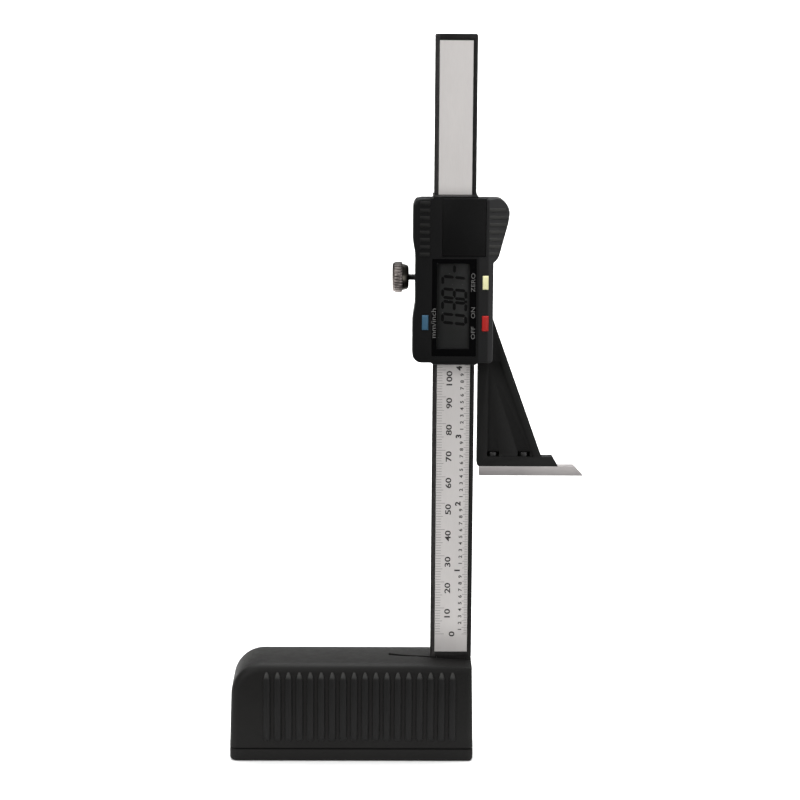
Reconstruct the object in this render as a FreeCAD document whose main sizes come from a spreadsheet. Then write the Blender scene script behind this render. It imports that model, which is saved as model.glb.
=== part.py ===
"""Digital height gauge: a moulded base, an upright beam with a printed scale, and a slider
with a display, a lock screw and an arm that carries a flat scribing blade.

All sizes are in millimetres. The origin is the centre of the base's underside, +X runs along
the base towards the beam and the blade, +Y points away from the display, +Z is up.
Slider pieces are drawn in the slider's own frame, whose zero is the beam's centre line at the
level of the blade's measuring face, and are then placed at the beam and the rest height.
"""
import FreeCAD, Part
import math
import os
import Sketcher

V = FreeCAD.Vector

SIZES = {
    # Base
    "base_length": 90.4, "base_depth": 26.5, "base_height": 37.4,
    "end_draft": 1.0, "base_wall": 2.4, "roof_wall": 2.6,
    "nose_radius": 12.0, "base_edge": 1.6, "foot_edge": 1.2,
    "plate_thickness": 4.65, "groove_height": 0.6, "groove_depth": 0.8,
    "ramp_start": 14.0, "ramp_drop": 1.3,
    "rib_pitch": 4.05, "rib_inset_left": 14.2, "rib_inset_right": 7.3, "rib_width": 2.3,
    "rib_proud": 0.75, "rib_slope": 38.0, "rib_foot": 2.55, "rib_head": 3.4,
    "plain_patch": 12.15,
    "socket_wall": 2.8, "foot_screw_inset": 5.8,
    "foot_screw_radius": 1.3, "foot_screw_length": 10.0, "foot_head_radius": 2.5,
    "foot_boss_half": 2.9, "foot_boss_height": 12.0,
    "ballast_inset": 10.2, "ballast_room": 5.6, "ballast_side": 1.85, "ballast_headroom": 4.55,
    "ballast_chamfer": 1.5, "fence_height": 5.0, "fence_thickness": 1.4, "fence_width": 9.0,
    "magnet_length": 16.0, "magnet_depth": 12.0, "magnet_thickness": 3.0,
    "magnet_inset": 3.0, "magnet_skin": 1.2,
    # Beam
    "beam_inset": 8.2, "beam_width": 15.3, "beam_thickness": 4.0, "beam_top": 267.8,
    "beam_corner": 0.6, "tang_shoulder": 2.45, "socket_floor": 7.05, "socket_clearance": 0.1,
    "label_side": 1.55, "label_foot": 1.7, "label_head": 2.2, "strip_thickness": 0.42,
    "strip_recess": 0.7, "strip_clearance": 0.08, "label_thickness": 0.22, "label_inset": 0.05,
    "tang_screw_end": 5.6, "tang_screw_shoulder": 8.4, "tang_screw_radius": 1.5,
    "tang_screw_length": 18.0, "tang_head_radius": 2.8, "tang_head_height": 2.0,
    "tang_head_sunk": 2.6, "insert_radius": 2.6, "insert_length": 6.0,
    "stop_width": 12.0, "stop_height": 8.0, "stop_thickness": 2.2, "stop_drop": 2.5,
    "stop_screw_radius": 1.2, "stop_head_radius": 2.2, "stop_head_height": 1.0,
    "stop_screw_grip": 1.1,
    # Slider body and arm
    "rest_height": 106.6, "running_gap": 0.05, "body_back": 5.2, "lip_thickness": 0.6,
    "lip_overlap": 1.2, "parting_inset": 0.3,
    "cover_low": 43.4, "cover_high": 103.1, "collar_low": 42.7, "collar_high": 104.3,
    "collar_half": 8.6, "collar_slope": 0.9,
    "grip_left": 15.35, "waist_left": 14.45, "waist_right": 13.8,
    "grip_low": 87.6, "grip_blend": 5.0, "heel_high": 59.4, "heel_blend": 5.6,
    "thumb_reach": 19.25, "thumb_level": 96.8, "thumb_foot": 15.6, "thumb_low": 81.6,
    "thumb_heel": 79.0, "thumb_top": 16.0, "slider_corner": 3.4, "thumb_corner": 2.4,
    "arm_gap": 1.2, "arm_thickness": 4.4, "arm_flange": 4.0, "arm_rib": 2.8, "arm_recess": 1.1,
    "arm_foot": 3.6, "arm_low": 32.8, "arm_high": 14.2, "arm_crown": 58.6, "toe_high": 36.8,
    "toe_low": 38.9, "arm_corner": 1.2,
    "gib_thickness": 1.0, "gib_depth": 3.4, "gib_low": 50.0, "gib_length": 47.0,
    "gib_screw_low": 56.0, "gib_screw_pitch": 34.0, "gib_screw_radius": 1.2,
    "gib_screw_length": 4.6,
    # Blade
    "blade_start": 9.8, "blade_end": 48.2, "blade_thickness": 3.5, "blade_depth": 4.4,
    "blade_screw_first": 14.9, "blade_screw_pitch": 11.4, "blade_screw_radius": 1.0,
    "blade_head_radius": 1.9, "nut_radius": 2.0, "nut_height": 1.6, "nut_room": 0.25,
    "nut_wall": 0.8,
    "screw_clearance": 0.08,
    # Lock screw
    "lock_level": 73.4, "lock_radius": 1.1, "knob_radius": 5.6, "knob_outer": 22.6,
    "knob_inner": 18.9, "knob_neck": 16.6, "knob_neck_radius": 5.0, "knob_neck_edge": 1.5,
    "knob_grooves": 20, "knob_groove_depth": 0.45, "knob_rim": 1.3,
    # Cover and what it holds
    "cover_front": 11.0, "front_wall": 1.8, "side_wall": 1.3,
    "window_left": -8.3, "window_right": 7.6, "window_low": 46.0, "window_high": 81.3,
    "window_thickness": 0.8, "window_ledge": 1.3, "fit_gap": 0.08,
    "lcd_left": -7.4, "lcd_right": 6.1, "lcd_low": 48.0, "lcd_high": 80.6, "lcd_thickness": 2.0,
    "contact_width": 1.8, "contact_length": 26.0,
    "board_left": -12.4, "board_right": 12.2, "board_low": 50.0, "board_high": 97.2,
    "board_thickness": 0.9,
    "cover_screw_left": -11.7, "cover_screw_right": 10.8, "cover_screw_low": 47.4,
    "cover_screw_high": 99.6, "cover_screw_radius": 1.0, "cover_screw_length": 10.6,
    "cover_head_radius": 1.9, "cover_head_height": 1.2, "cover_head_sunk": 1.6,
    "cover_boss_half": 2.0,
    "head_room": 0.3,
    "door_left": -4.7, "door_right": 10.9, "door_low": 82.2, "door_thickness": 1.0,
    "door_tongue": 0.5, "tongue_thickness": 0.5, "door_gap": 0.1,
    "cell_x": 3.1, "cell_level": 89.9, "cell_radius": 5.8, "cell_thickness": 5.4,
    "cell_clearance": 0.3, "cell_rim": 0.4, "contact_sheet": 0.3,
    "contact_half": 4.2,
    "left_ridge_count": 8, "right_ridge_count": 7, "ridge_pitch": 2.63, "ridge_width": 1.3,
    "ridge_height": 0.35, "left_ridge_low": 82.3, "right_ridge_low": 82.5,
    "left_ridge_inner": -9.0, "left_ridge_outer": -13.2, "right_ridge_inner": 11.6,
    "right_ridge_outer": 14.6,
    # Buttons
    "zero_x": 10.95, "zero_level": 72.8, "zero_width": 2.1, "zero_height": 5.0,
    "power_x": 11.0, "power_level": 57.95, "power_width": 2.4, "power_height": 5.6,
    "unit_x": -10.75, "unit_level": 58.25, "unit_width": 2.3, "unit_height": 5.4,
    "button_proud": 0.55, "button_flange": 0.6, "button_travel": 0.4, "switch_half": 1.1,
    "switch_height": 0.4, "press_gap": 0.1, "button_gap": 0.08, "stem_half": 0.8,
    "cap_edge": 0.3,
}

SHEET_NAME = "Sizes"


class Size:
    """A length that carries both its number and the sheet expression it comes from."""

    def __init__(self, value, text):
        self.value = float(value)
        self.text = text

    def __add__(self, other):
        other = as_size(other)
        return Size(self.value + other.value, f"({self.text} + {other.text})")

    def __sub__(self, other):
        other = as_size(other)
        return Size(self.value - other.value, f"({self.text} - {other.text})")

    def __mul__(self, other):
        other = as_size(other)
        return Size(self.value * other.value, f"({self.text} * {other.text})")

    def __truediv__(self, other):
        other = as_size(other)
        return Size(self.value / other.value, f"({self.text} / {other.text})")

    def __radd__(self, other):
        return as_size(other) + self

    def __rsub__(self, other):
        return as_size(other) - self

    def __rmul__(self, other):
        return as_size(other) * self

    def __neg__(self):
        return Size(-self.value, f"(0 - {self.text})")


def as_size(item):
    """A plain number as a Size, and a Size as it is."""
    return item if isinstance(item, Size) else Size(item, f"{float(item):.6f}")


def tangent(angle):
    """The tangent of an angle in degrees."""
    return Size(math.tan(math.radians(angle.value)), f"tan({angle.text} * 1deg)")


def copies(length, pitch):
    """How many copies at a pitch fit a row's length."""
    return Size(math.floor(length.value / pitch.value) + 1,
                f"(floor({length.text} / {pitch.text}) + 1)")


class Sheet:
    """The spreadsheet of driving dimensions; each one is read as an attribute."""

    def __init__(self, doc, sizes):
        self.cells = doc.addObject("Spreadsheet::Sheet", SHEET_NAME)
        for row, (name, value) in enumerate(sizes.items(), start=1):
            self.cells.set(f"A{row}", name)
            self.cells.set(f"B{row}", str(value))
            self.cells.setAlias(f"B{row}", name)
        doc.recompute()

    def __getattr__(self, name):
        return Size(getattr(self.cells, name), f"{SHEET_NAME}.{name}")


doc = FreeCAD.newDocument("height_gauge")
S = Sheet(doc, SIZES)
NODES = []

PLANES = {"x": "YZ_Plane", "y": "XZ_Plane", "z": "XY_Plane"}
AXES = {"x": "X_Axis", "y": "Y_Axis", "z": "Z_Axis"}


def new_body(name):
    """An empty body, kept as one of the nodes."""
    body = doc.addObject("PartDesign::Body", name)
    body.Label = name
    body.AllowCompound = True
    NODES.append(body)
    return body


def origin_part(body, role):
    """A body's own origin plane or axis."""
    return next(item for item in body.Origin.OriginFeatures if item.Role == role)


def place(thing, x=0, y=0, z=0):
    """Move a finished piece by lengths that stay bound to the sheet."""
    for axis, value in (("x", x), ("y", y), ("z", z)):
        thing.setExpression(f".Placement.Base.{axis}", as_size(value).text)


def on_slider(thing):
    """Put a piece drawn in the slider's frame at the beam and the rest height."""
    place(thing, x=BEAM_X, z=S.rest_height)
    return thing


def new_sketch(body, name, axis, level):
    """A sketch on the origin plane square to an axis, moved along that axis to a level."""
    sketch = body.newObject("Sketcher::SketchObject", name)
    sketch.AttachmentSupport = (origin_part(body, PLANES[axis]), [""])
    sketch.MapMode = "FlatFace"
    level = -as_size(level) if axis == "y" else as_size(level)
    sketch.setExpression(".AttachmentOffset.Base.z", level.text)
    return sketch


def pin_point(sketch, item, end, point):
    """Bind one end or centre of a sketch item to sheet lengths."""
    for kind, value in zip(("DistanceX", "DistanceY"), point):
        value = as_size(value)
        index = sketch.addConstraint(Sketcher.Constraint(kind, -1, 1, item, end, value.value))
        sketch.setExpression(f"Constraints[{index}]", value.text)


def flat(point):
    """A sketch point's numbers as a vector."""
    return V(as_size(point[0]).value, as_size(point[1]).value, 0)


def draw_loop(sketch, points, arcs=()):
    """A closed loop through points; arcs maps a stretch's number to its centre and radius."""
    arcs = dict(arcs)
    joints = []
    for index, point in enumerate(points):
        start, end = flat(point), flat(points[(index + 1) % len(points)])
        if index in arcs:
            centre, radius = flat(arcs[index][0]), as_size(arcs[index][1])
            middle = (start + end) * 0.5 - centre
            middle = centre + middle.normalize() * radius.value
            item = sketch.addGeometry(Part.Arc(start, middle, end), False)
            forward = sketch.Geometry[item].StartPoint.distanceToPoint(start) < 1e-6
            joints.append((item, 1, 2) if forward else (item, 2, 1))
        else:
            item = sketch.addGeometry(Part.LineSegment(start, end), False)
            joints.append((item, 1, 2))
    for index, (item, first, last) in enumerate(joints):
        following = joints[(index + 1) % len(joints)]
        sketch.addConstraint(
            Sketcher.Constraint("Coincident", item, last, following[0], following[1]))
        pin_point(sketch, item, first, points[index])
        if index in arcs:
            radius = as_size(arcs[index][1])
            bound = sketch.addConstraint(Sketcher.Constraint("Radius", item, radius.value))
            sketch.setExpression(f"Constraints[{bound}]", radius.text)


def draw_box(sketch, left, low, right, high):
    """A rectangle from its sides."""
    draw_loop(sketch, [(left, low), (right, low), (right, high), (left, high)])


def draw_hexagon(sketch, centre, radius):
    """A regular hexagon with two corners level with its centre."""
    turns = [math.radians(60 * turn) for turn in range(6)]
    draw_loop(sketch, [(centre[0] + radius * round(math.cos(turn), 6),
                        centre[1] + radius * round(math.sin(turn), 6)) for turn in turns])


def draw_circle(sketch, centre, radius):
    """A circle bound at its centre and radius."""
    radius = as_size(radius)
    item = sketch.addGeometry(Part.Circle(flat(centre), V(0, 0, 1), radius.value), False)
    pin_point(sketch, item, 3, centre)
    index = sketch.addConstraint(Sketcher.Constraint("Radius", item, radius.value))
    sketch.setExpression(f"Constraints[{index}]", radius.text)


def finish_feature(body, feature):
    """Recompute, and stop if the feature failed."""
    body.Tip = feature
    doc.recompute()
    if "Invalid" in feature.State or "Error" in feature.State or feature.Shape.isNull():
        raise RuntimeError(f"{body.Label}: {feature.Name} failed")
    return feature


def pad(body, name, axis, low, high, draw):
    """Add material between two levels along an axis; draw fills the sketch."""
    sketch = new_sketch(body, name + "_outline", axis, high if axis == "y" else low)
    draw(sketch)
    feature = body.newObject("PartDesign::Pad", name)
    feature.Profile = sketch
    feature.setExpression("Length", (as_size(high) - low).text)
    return finish_feature(body, feature)


def cut(body, name, axis, low, high, draw):
    """Take material away between two levels along an axis, and check that some went."""
    before = body.Shape.Volume
    sketch = new_sketch(body, name + "_outline", axis, low if axis == "y" else high)
    draw(sketch)
    feature = body.newObject("PartDesign::Pocket", name)
    feature.Profile = sketch
    feature.setExpression("Length", (as_size(high) - low).text)
    finish_feature(body, feature)
    if body.Shape.Volume > before - 1e-6:
        raise RuntimeError(f"{body.Label}: {name} cut nothing")
    return feature


def loft(body, name, axis, *sections):
    """Material between outlines at several levels; each section is a level and its drawing."""
    sketches = []
    for number, (level, draw) in enumerate(sections, start=1):
        sketch = new_sketch(body, f"{name}_section{number}", axis, level)
        draw(sketch)
        sketches.append(sketch)
    feature = body.newObject("PartDesign::AdditiveLoft", name)
    feature.Profile = sketches[0]
    feature.Sections = sketches[1:]
    return finish_feature(body, feature)


def row_of(body, name, feature, axis, count, pitch):
    """Repeat a feature along one of the body's axes."""
    pattern = body.newObject("PartDesign::LinearPattern", name)
    pattern.Originals = [feature]
    pattern.Direction = (origin_part(body, AXES[axis]), [""])
    pattern.Mode = "Spacing"
    pattern.setExpression("Occurrences", count.text)
    pattern.setExpression("Offset", pitch.text)
    return finish_feature(body, pattern)


def edge_names(shape, wanted):
    """The names of the edges that a test picks."""
    return [f"Edge{number}" for number, edge in enumerate(shape.Edges, start=1) if wanted(edge)]


def dress(body, name, kind, size, wanted):
    """A fillet or chamfer on the edges that a test picks."""
    base = body.Tip
    names = edge_names(base.Shape, wanted)
    if not names:
        raise RuntimeError(f"{body.Label}: {name} found no edge")
    feature = body.newObject(f"PartDesign::{kind}", name)
    feature.Base = (base, names)
    feature.setExpression("Radius" if kind == "Fillet" else "Size", size.text)
    return finish_feature(body, feature)


def upright_at(axis, points, tolerance=1e-3):
    """A test for straight edges along an axis that pass through given points of its plane."""
    spots = [(as_size(a).value, as_size(b).value) for a, b in points]

    def test(edge):
        box = edge.BoundBox
        spans = {"x": box.XLength, "y": box.YLength, "z": box.ZLength}
        across = [letter for letter in "xyz" if letter != axis]
        if spans[axis] < tolerance or any(spans[letter] > tolerance for letter in across):
            return False
        centre = {"x": box.Center.x, "y": box.Center.y, "z": box.Center.z}
        here = tuple(centre[letter] for letter in across)
        return any(abs(here[0] - a) < tolerance and abs(here[1] - b) < tolerance
                   for a, b in spots)
    return test


def on_plane(axis, level, tolerance=1e-3):
    """A test for edges that lie in a plane square to an axis."""
    level = as_size(level).value
    letter = axis.upper()

    def test(edge):
        box = edge.BoundBox
        low, high = getattr(box, letter + "Min"), getattr(box, letter + "Max")
        return abs(low - level) < tolerance and abs(high - level) < tolerance
    return test


TURNS = {
    "+x": FreeCAD.Rotation(V(0, 1, 0), 90), "-x": FreeCAD.Rotation(V(0, 1, 0), -90),
    "+y": FreeCAD.Rotation(V(1, 0, 0), -90), "-y": FreeCAD.Rotation(V(1, 0, 0), 90),
    "+z": FreeCAD.Rotation(), "-z": FreeCAD.Rotation(V(1, 0, 0), 180),
}


def solid(kind, name, sizes, at, direction):
    """A Part primitive whose axis points in a direction from a place."""
    thing = doc.addObject(f"Part::{kind}", name)
    for key, value in sizes.items():
        thing.setExpression(key, as_size(value).text)
    thing.Placement = FreeCAD.Placement(V(0, 0, 0), TURNS[direction])
    place(thing, *at)
    return thing


def along(at, direction, distance):
    """A place moved along a signed axis."""
    moved = [as_size(value) for value in at]
    slot = "xyz".index(direction[1])
    moved[slot] = moved[slot] + distance if direction[0] == "+" else moved[slot] - distance
    return tuple(moved)


def screw_set(name, places, direction, radius, length, head_radius=None, head_height=None,
              flush=False):
    """A set of like screws; each place is the top of a head, and the shank points away."""
    screws = []
    for number, at in enumerate(places, start=1):
        shank_start, parts = at, []
        if head_radius is not None:
            foot = radius if flush else head_radius
            shape = "Cone" if flush else "Cylinder"
            sizes = {"Height": head_height}
            sizes.update({"Radius1": head_radius, "Radius2": foot} if flush
                         else {"Radius": head_radius})
            parts.append(solid(shape, f"{name}_head{number}", sizes, at, direction))
            shank_start = along(at, direction, head_height)
        shank_length = length if (head_radius is None or not flush) else length - head_height
        parts.append(solid("Cylinder", f"{name}_shank{number}",
                           {"Radius": radius, "Height": shank_length}, shank_start, direction))
        if len(parts) == 1:
            screws.append(parts[0])
            continue
        screw = doc.addObject("Part::MultiFuse", f"{name}_{number}")
        screw.Shapes = parts
        screws.append(screw)
    group = doc.addObject("Part::Compound", name)
    group.Label = name
    group.Links = screws
    NODES.append(group)
    doc.recompute()
    return group


# Levels and sides that several pieces share
HALF_LENGTH = S.base_length / 2
HALF_DEPTH = S.base_depth / 2
RIM = S.plate_thickness + S.groove_height
END_LEAN = (S.base_height - RIM) * tangent(S.end_draft)
BEAM_X = HALF_LENGTH - S.beam_inset
BEAM_HALF = S.beam_width / 2
BEAM_FRONT = -S.beam_thickness / 2
BEAM_BACK = S.beam_thickness / 2
TANG_LEFT = BEAM_X - BEAM_HALF + S.tang_shoulder
TANG_RIGHT = BEAM_X + BEAM_HALF - S.tang_shoulder
SOCKET_LEFT = TANG_LEFT - S.socket_clearance
SOCKET_RIGHT = TANG_RIGHT + S.socket_clearance
SOCKET_FLOOR = RIM + S.socket_floor
TANG_LOW = SOCKET_FLOOR + S.socket_clearance
CAVITY_RIGHT = SOCKET_LEFT - S.socket_wall
ROOF = S.base_height - S.roof_wall
TANG_SCREW_LEVELS = [TANG_LOW + S.tang_screw_end, S.base_height - S.tang_screw_shoulder]
FOOT_SCREW_X = HALF_LENGTH - S.foot_screw_inset
FOOT_SCREW_SPOTS = [(-FOOT_SCREW_X, as_size(0)), (FOOT_SCREW_X, as_size(0))]
RIB_FIRST = -HALF_LENGTH + S.rib_inset_left
RIB_ROW = S.base_length - S.rib_inset_left - S.rib_inset_right
BALLAST_LEFT = -HALF_LENGTH + S.ballast_inset
BALLAST_RIGHT = CAVITY_RIGHT - S.ballast_room
BALLAST_SIDE = HALF_DEPTH - S.base_wall - S.ballast_side
BALLAST_TOP = ROOF - S.ballast_headroom
STRIP_HALF = BEAM_HALF - S.label_side
STRIP_LOW = S.base_height + S.label_foot
STRIP_HIGH = S.beam_top - S.label_head
STOP_HIGH = S.beam_top - S.stop_drop
STOP_LOW = STOP_HIGH - S.stop_height
BODY_FRONT = BEAM_FRONT - S.running_gap - S.lip_thickness
BOARD_FRONT = BODY_FRONT - S.board_thickness
COVER_FACE = -S.cover_front
COVER_INSIDE = COVER_FACE + S.front_wall
CHANNEL_LEFT = -BEAM_HALF - S.gib_thickness - 2 * S.running_gap
CHANNEL_RIGHT = BEAM_HALF + S.running_gap
CHANNEL_BACK = BEAM_BACK + S.running_gap
STOP_SCREW_LEVEL = (STOP_LOW + STOP_HIGH) / 2
BLADE_SCREW_XS = [S.blade_screw_first, S.blade_screw_first + S.blade_screw_pitch]
GIB_SCREW_LEVELS = [S.gib_screw_low, S.gib_screw_low + S.gib_screw_pitch]
COVER_SCREW_SPOTS = [(S.cover_screw_left, S.cover_screw_high),
                     (S.cover_screw_right, S.cover_screw_low)]
BUTTONS = {
    "zero_button": (S.zero_x, S.zero_level, S.zero_width, S.zero_height),
    "power_button": (S.power_x, S.power_level, S.power_width, S.power_height),
    "unit_button": (S.unit_x, S.unit_level, S.unit_width, S.unit_height),
}


def make_housing():
    """Hollow moulded housing: ribbed faces, drafted ends, ramp beside the beam, socket."""
    body = new_body("base_housing")
    top_left, top_right = -HALF_LENGTH + END_LEAN, HALF_LENGTH - END_LEAN
    pad(body, "rear_block", "y", BEAM_FRONT, HALF_DEPTH, lambda sketch: draw_loop(sketch, [
        (-HALF_LENGTH, RIM), (HALF_LENGTH, RIM), (top_right, S.base_height),
        (top_left, S.base_height)]))
    pad(body, "front_block", "y", -HALF_DEPTH, BEAM_FRONT, lambda sketch: draw_loop(sketch, [
        (-HALF_LENGTH, RIM), (HALF_LENGTH, RIM), (top_right, S.base_height - S.ramp_drop),
        (S.ramp_start, S.base_height), (top_left, S.base_height)]))
    dress(body, "nose", "Fillet", S.nose_radius,
          upright_at("y", [(top_left, S.base_height)]))
    front, back = on_plane("y", -HALF_DEPTH), on_plane("y", HALF_DEPTH)
    rim = on_plane("z", RIM)
    dress(body, "face_edges", "Chamfer", S.base_edge,
          lambda edge: (front(edge) or back(edge)) and not rim(edge))
    inner_left = -HALF_LENGTH + S.base_wall + END_LEAN * 0.5
    inner_side = HALF_DEPTH - S.base_wall
    hollow = S.nose_radius - S.roof_wall
    cut(body, "hollow", "y", -inner_side, inner_side, lambda sketch: draw_loop(sketch, [
        (inner_left, RIM - 1), (CAVITY_RIGHT, RIM - 1), (CAVITY_RIGHT, ROOF),
        (inner_left + hollow, ROOF), (inner_left, ROOF - hollow)],
        {3: ((inner_left + hollow, ROOF - hollow), hollow)}))
    pad(body, "foot_boss", "z", RIM, RIM + S.foot_boss_height, lambda sketch: draw_box(
        sketch, -HALF_LENGTH + S.base_wall, -S.foot_boss_half,
        -FOOT_SCREW_X + S.foot_boss_half, S.foot_boss_half))
    cut(body, "foot_threads", "z", RIM - 1, RIM + S.foot_screw_length - S.plate_thickness,
        lambda sketch: [draw_circle(sketch, spot, S.foot_screw_radius + S.screw_clearance)
                        for spot in FOOT_SCREW_SPOTS])
    socket_half = S.beam_thickness / 2 + S.socket_clearance
    cut(body, "tang_socket", "z", SOCKET_FLOOR, S.base_height + 1, lambda sketch: draw_box(
        sketch, SOCKET_LEFT, -socket_half, SOCKET_RIGHT, socket_half))
    cut(body, "screw_holes", "y", 0, HALF_DEPTH + 1, lambda sketch: [
        draw_circle(sketch, (BEAM_X, level), S.tang_screw_radius + S.screw_clearance)
        for level in TANG_SCREW_LEVELS])
    cut(body, "head_wells", "y", HALF_DEPTH - S.tang_head_sunk, HALF_DEPTH + 1,
        lambda sketch: [draw_circle(sketch, (BEAM_X, level),
                                    S.tang_head_radius + S.head_room)
                        for level in TANG_SCREW_LEVELS])
    cut(body, "insert_holes", "y", BEAM_FRONT - S.insert_length - S.socket_clearance, 0,
        lambda sketch: [draw_hexagon(sketch, (BEAM_X, level), S.insert_radius + S.fit_gap)
                        for level in TANG_SCREW_LEVELS])
    half = S.rib_width / 2
    lean = S.rib_proud * tangent(S.rib_slope)
    rib_low, rib_high = RIM + S.rib_foot, S.base_height - S.rib_head
    for name, side, row in (("front_rib", -1, RIB_ROW),
                            ("rear_rib", 1, RIB_ROW - S.plain_patch)):
        rib = loft(body, name, "y",
                   (side * HALF_DEPTH, lambda sketch: draw_box(
                       sketch, RIB_FIRST - half, rib_low, RIB_FIRST + half, rib_high)),
                   (side * (HALF_DEPTH + S.rib_proud), lambda sketch: draw_box(
                       sketch, RIB_FIRST - half + lean, rib_low + lean,
                       RIB_FIRST + half - lean, rib_high - lean)))
        row_of(body, name + "s", rib, "x", copies(row, S.rib_pitch), S.rib_pitch)


def make_plate():
    """Bottom plate with a stepped top that leaves the parting groove, fences and magnets."""
    body = new_body("base_plate")
    pad(body, "slab", "z", 0, S.plate_thickness, lambda sketch: draw_box(
        sketch, -HALF_LENGTH, -HALF_DEPTH, HALF_LENGTH, HALF_DEPTH))
    dress(body, "corners", "Chamfer", S.base_edge,
          upright_at("z", [(x, y) for x in (-HALF_LENGTH, HALF_LENGTH)
                           for y in (-HALF_DEPTH, HALF_DEPTH)]))
    dress(body, "foot_edges", "Chamfer", S.foot_edge, on_plane("z", 0))
    pad(body, "step", "z", S.plate_thickness, RIM, lambda sketch: draw_box(
        sketch, -HALF_LENGTH + S.groove_depth, -HALF_DEPTH + S.groove_depth,
        HALF_LENGTH - S.groove_depth, HALF_DEPTH - S.groove_depth))
    for name, low, high in (
            ("left_fence", BALLAST_LEFT - S.fit_gap - S.fence_thickness,
             BALLAST_LEFT - S.fit_gap),
            ("right_fence", BALLAST_RIGHT + S.fit_gap,
             BALLAST_RIGHT + S.fit_gap + S.fence_thickness)):
        pad(body, name, "z", RIM, RIM + S.fence_height, lambda sketch: draw_box(
            sketch, low, -S.fence_width / 2, high, S.fence_width / 2))
    cut(body, "magnet_wells", "z", S.magnet_skin, RIM + 1,
        lambda sketch: draw_magnets(sketch, S.fit_gap))
    cut(body, "screw_holes", "z", -1, RIM + 1, lambda sketch: [
        draw_circle(sketch, spot, S.foot_screw_radius + S.screw_clearance)
        for spot in FOOT_SCREW_SPOTS])
    dress(body, "head_seats", "Chamfer",
          S.foot_head_radius - S.foot_screw_radius, seat_edges(FOOT_SCREW_SPOTS, 0))


def draw_magnets(sketch, room):
    """The two magnets' outlines, with room around them."""
    half = S.magnet_depth / 2 + room
    for left in (BALLAST_LEFT + S.magnet_inset,
                 BALLAST_RIGHT - S.magnet_inset - S.magnet_length):
        draw_box(sketch, left - room, -half, left + S.magnet_length + room, half)


def seat_edges(spots, level, tolerance=0.05):
    """A test for the round edges about given spots at one level."""
    centres = [(as_size(x).value, as_size(y).value) for x, y in spots]
    level = as_size(level).value

    def test(edge):
        box = edge.BoundBox
        if abs(box.ZMin - level) > tolerance or abs(box.ZMax - level) > tolerance:
            return False
        return any(abs(box.Center.x - x) < tolerance and abs(box.Center.y - y) < tolerance
                   for x, y in centres)
    return test


def make_base_fillings():
    """Ballast, magnets and the plate's screws."""
    ballast = new_body("ballast_block")
    pad(ballast, "bar", "z", RIM, BALLAST_TOP, lambda sketch: draw_box(
        sketch, BALLAST_LEFT, -BALLAST_SIDE, BALLAST_RIGHT, BALLAST_SIDE))
    dress(ballast, "eased_top", "Chamfer", S.ballast_chamfer, on_plane("z", BALLAST_TOP))
    magnets = new_body("base_magnets")
    pad(magnets, "blocks", "z", S.magnet_skin, S.magnet_skin + S.magnet_thickness,
        lambda sketch: draw_magnets(sketch, 0))
    screw_set("base_screws", [(x, y, 0) for x, y in FOOT_SCREW_SPOTS], "+z",
              S.foot_screw_radius, S.foot_screw_length, S.foot_head_radius,
              S.foot_head_radius - S.foot_screw_radius, flush=True)


def make_beam():
    """Beam with its tang, the groove for the scale, and the scale's two layers."""
    body = new_body("beam")
    left, right = BEAM_X - BEAM_HALF, BEAM_X + BEAM_HALF
    pad(body, "bar", "y", BEAM_FRONT, BEAM_BACK, lambda sketch: draw_loop(sketch, [
        (TANG_LEFT, TANG_LOW), (TANG_RIGHT, TANG_LOW), (TANG_RIGHT, S.base_height),
        (right, S.base_height), (right, S.beam_top), (left, S.beam_top),
        (left, S.base_height), (TANG_LEFT, S.base_height)]))
    dress(body, "top_corners", "Fillet", S.beam_corner,
          upright_at("y", [(left, S.beam_top), (right, S.beam_top)]))
    reach = STRIP_HALF + S.strip_clearance
    cut(body, "scale_groove", "y", BEAM_FRONT - 1, BEAM_FRONT + S.strip_recess,
        lambda sketch: draw_box(sketch, BEAM_X - reach, STRIP_LOW - S.strip_clearance,
                                BEAM_X + reach, STRIP_HIGH + S.strip_clearance))
    cut(body, "tang_holes", "y", BEAM_FRONT - 1, BEAM_BACK + 1, lambda sketch: [
        draw_circle(sketch, (BEAM_X, level), S.tang_screw_radius + S.screw_clearance)
        for level in TANG_SCREW_LEVELS])
    cut(body, "stop_hole", "y", BEAM_BACK - S.stop_screw_grip - S.screw_clearance,
        BEAM_BACK + 1, lambda sketch: draw_circle(
            sketch, (BEAM_X, STOP_SCREW_LEVEL), S.stop_screw_radius + S.screw_clearance))
    strip_back = BEAM_FRONT + S.strip_recess
    layer = strip_back - S.strip_thickness
    for name, back, front, inset in (("scale_strip", strip_back, layer, 0),
                                     ("scale_label", layer, layer - S.label_thickness, S.label_inset)):
        strip = new_body(name)
        half = STRIP_HALF - inset
        pad(strip, name + "_sheet", "y", front, back, lambda sketch: draw_box(
            sketch, BEAM_X - half, STRIP_LOW + inset, BEAM_X + half, STRIP_HIGH - inset))


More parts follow.
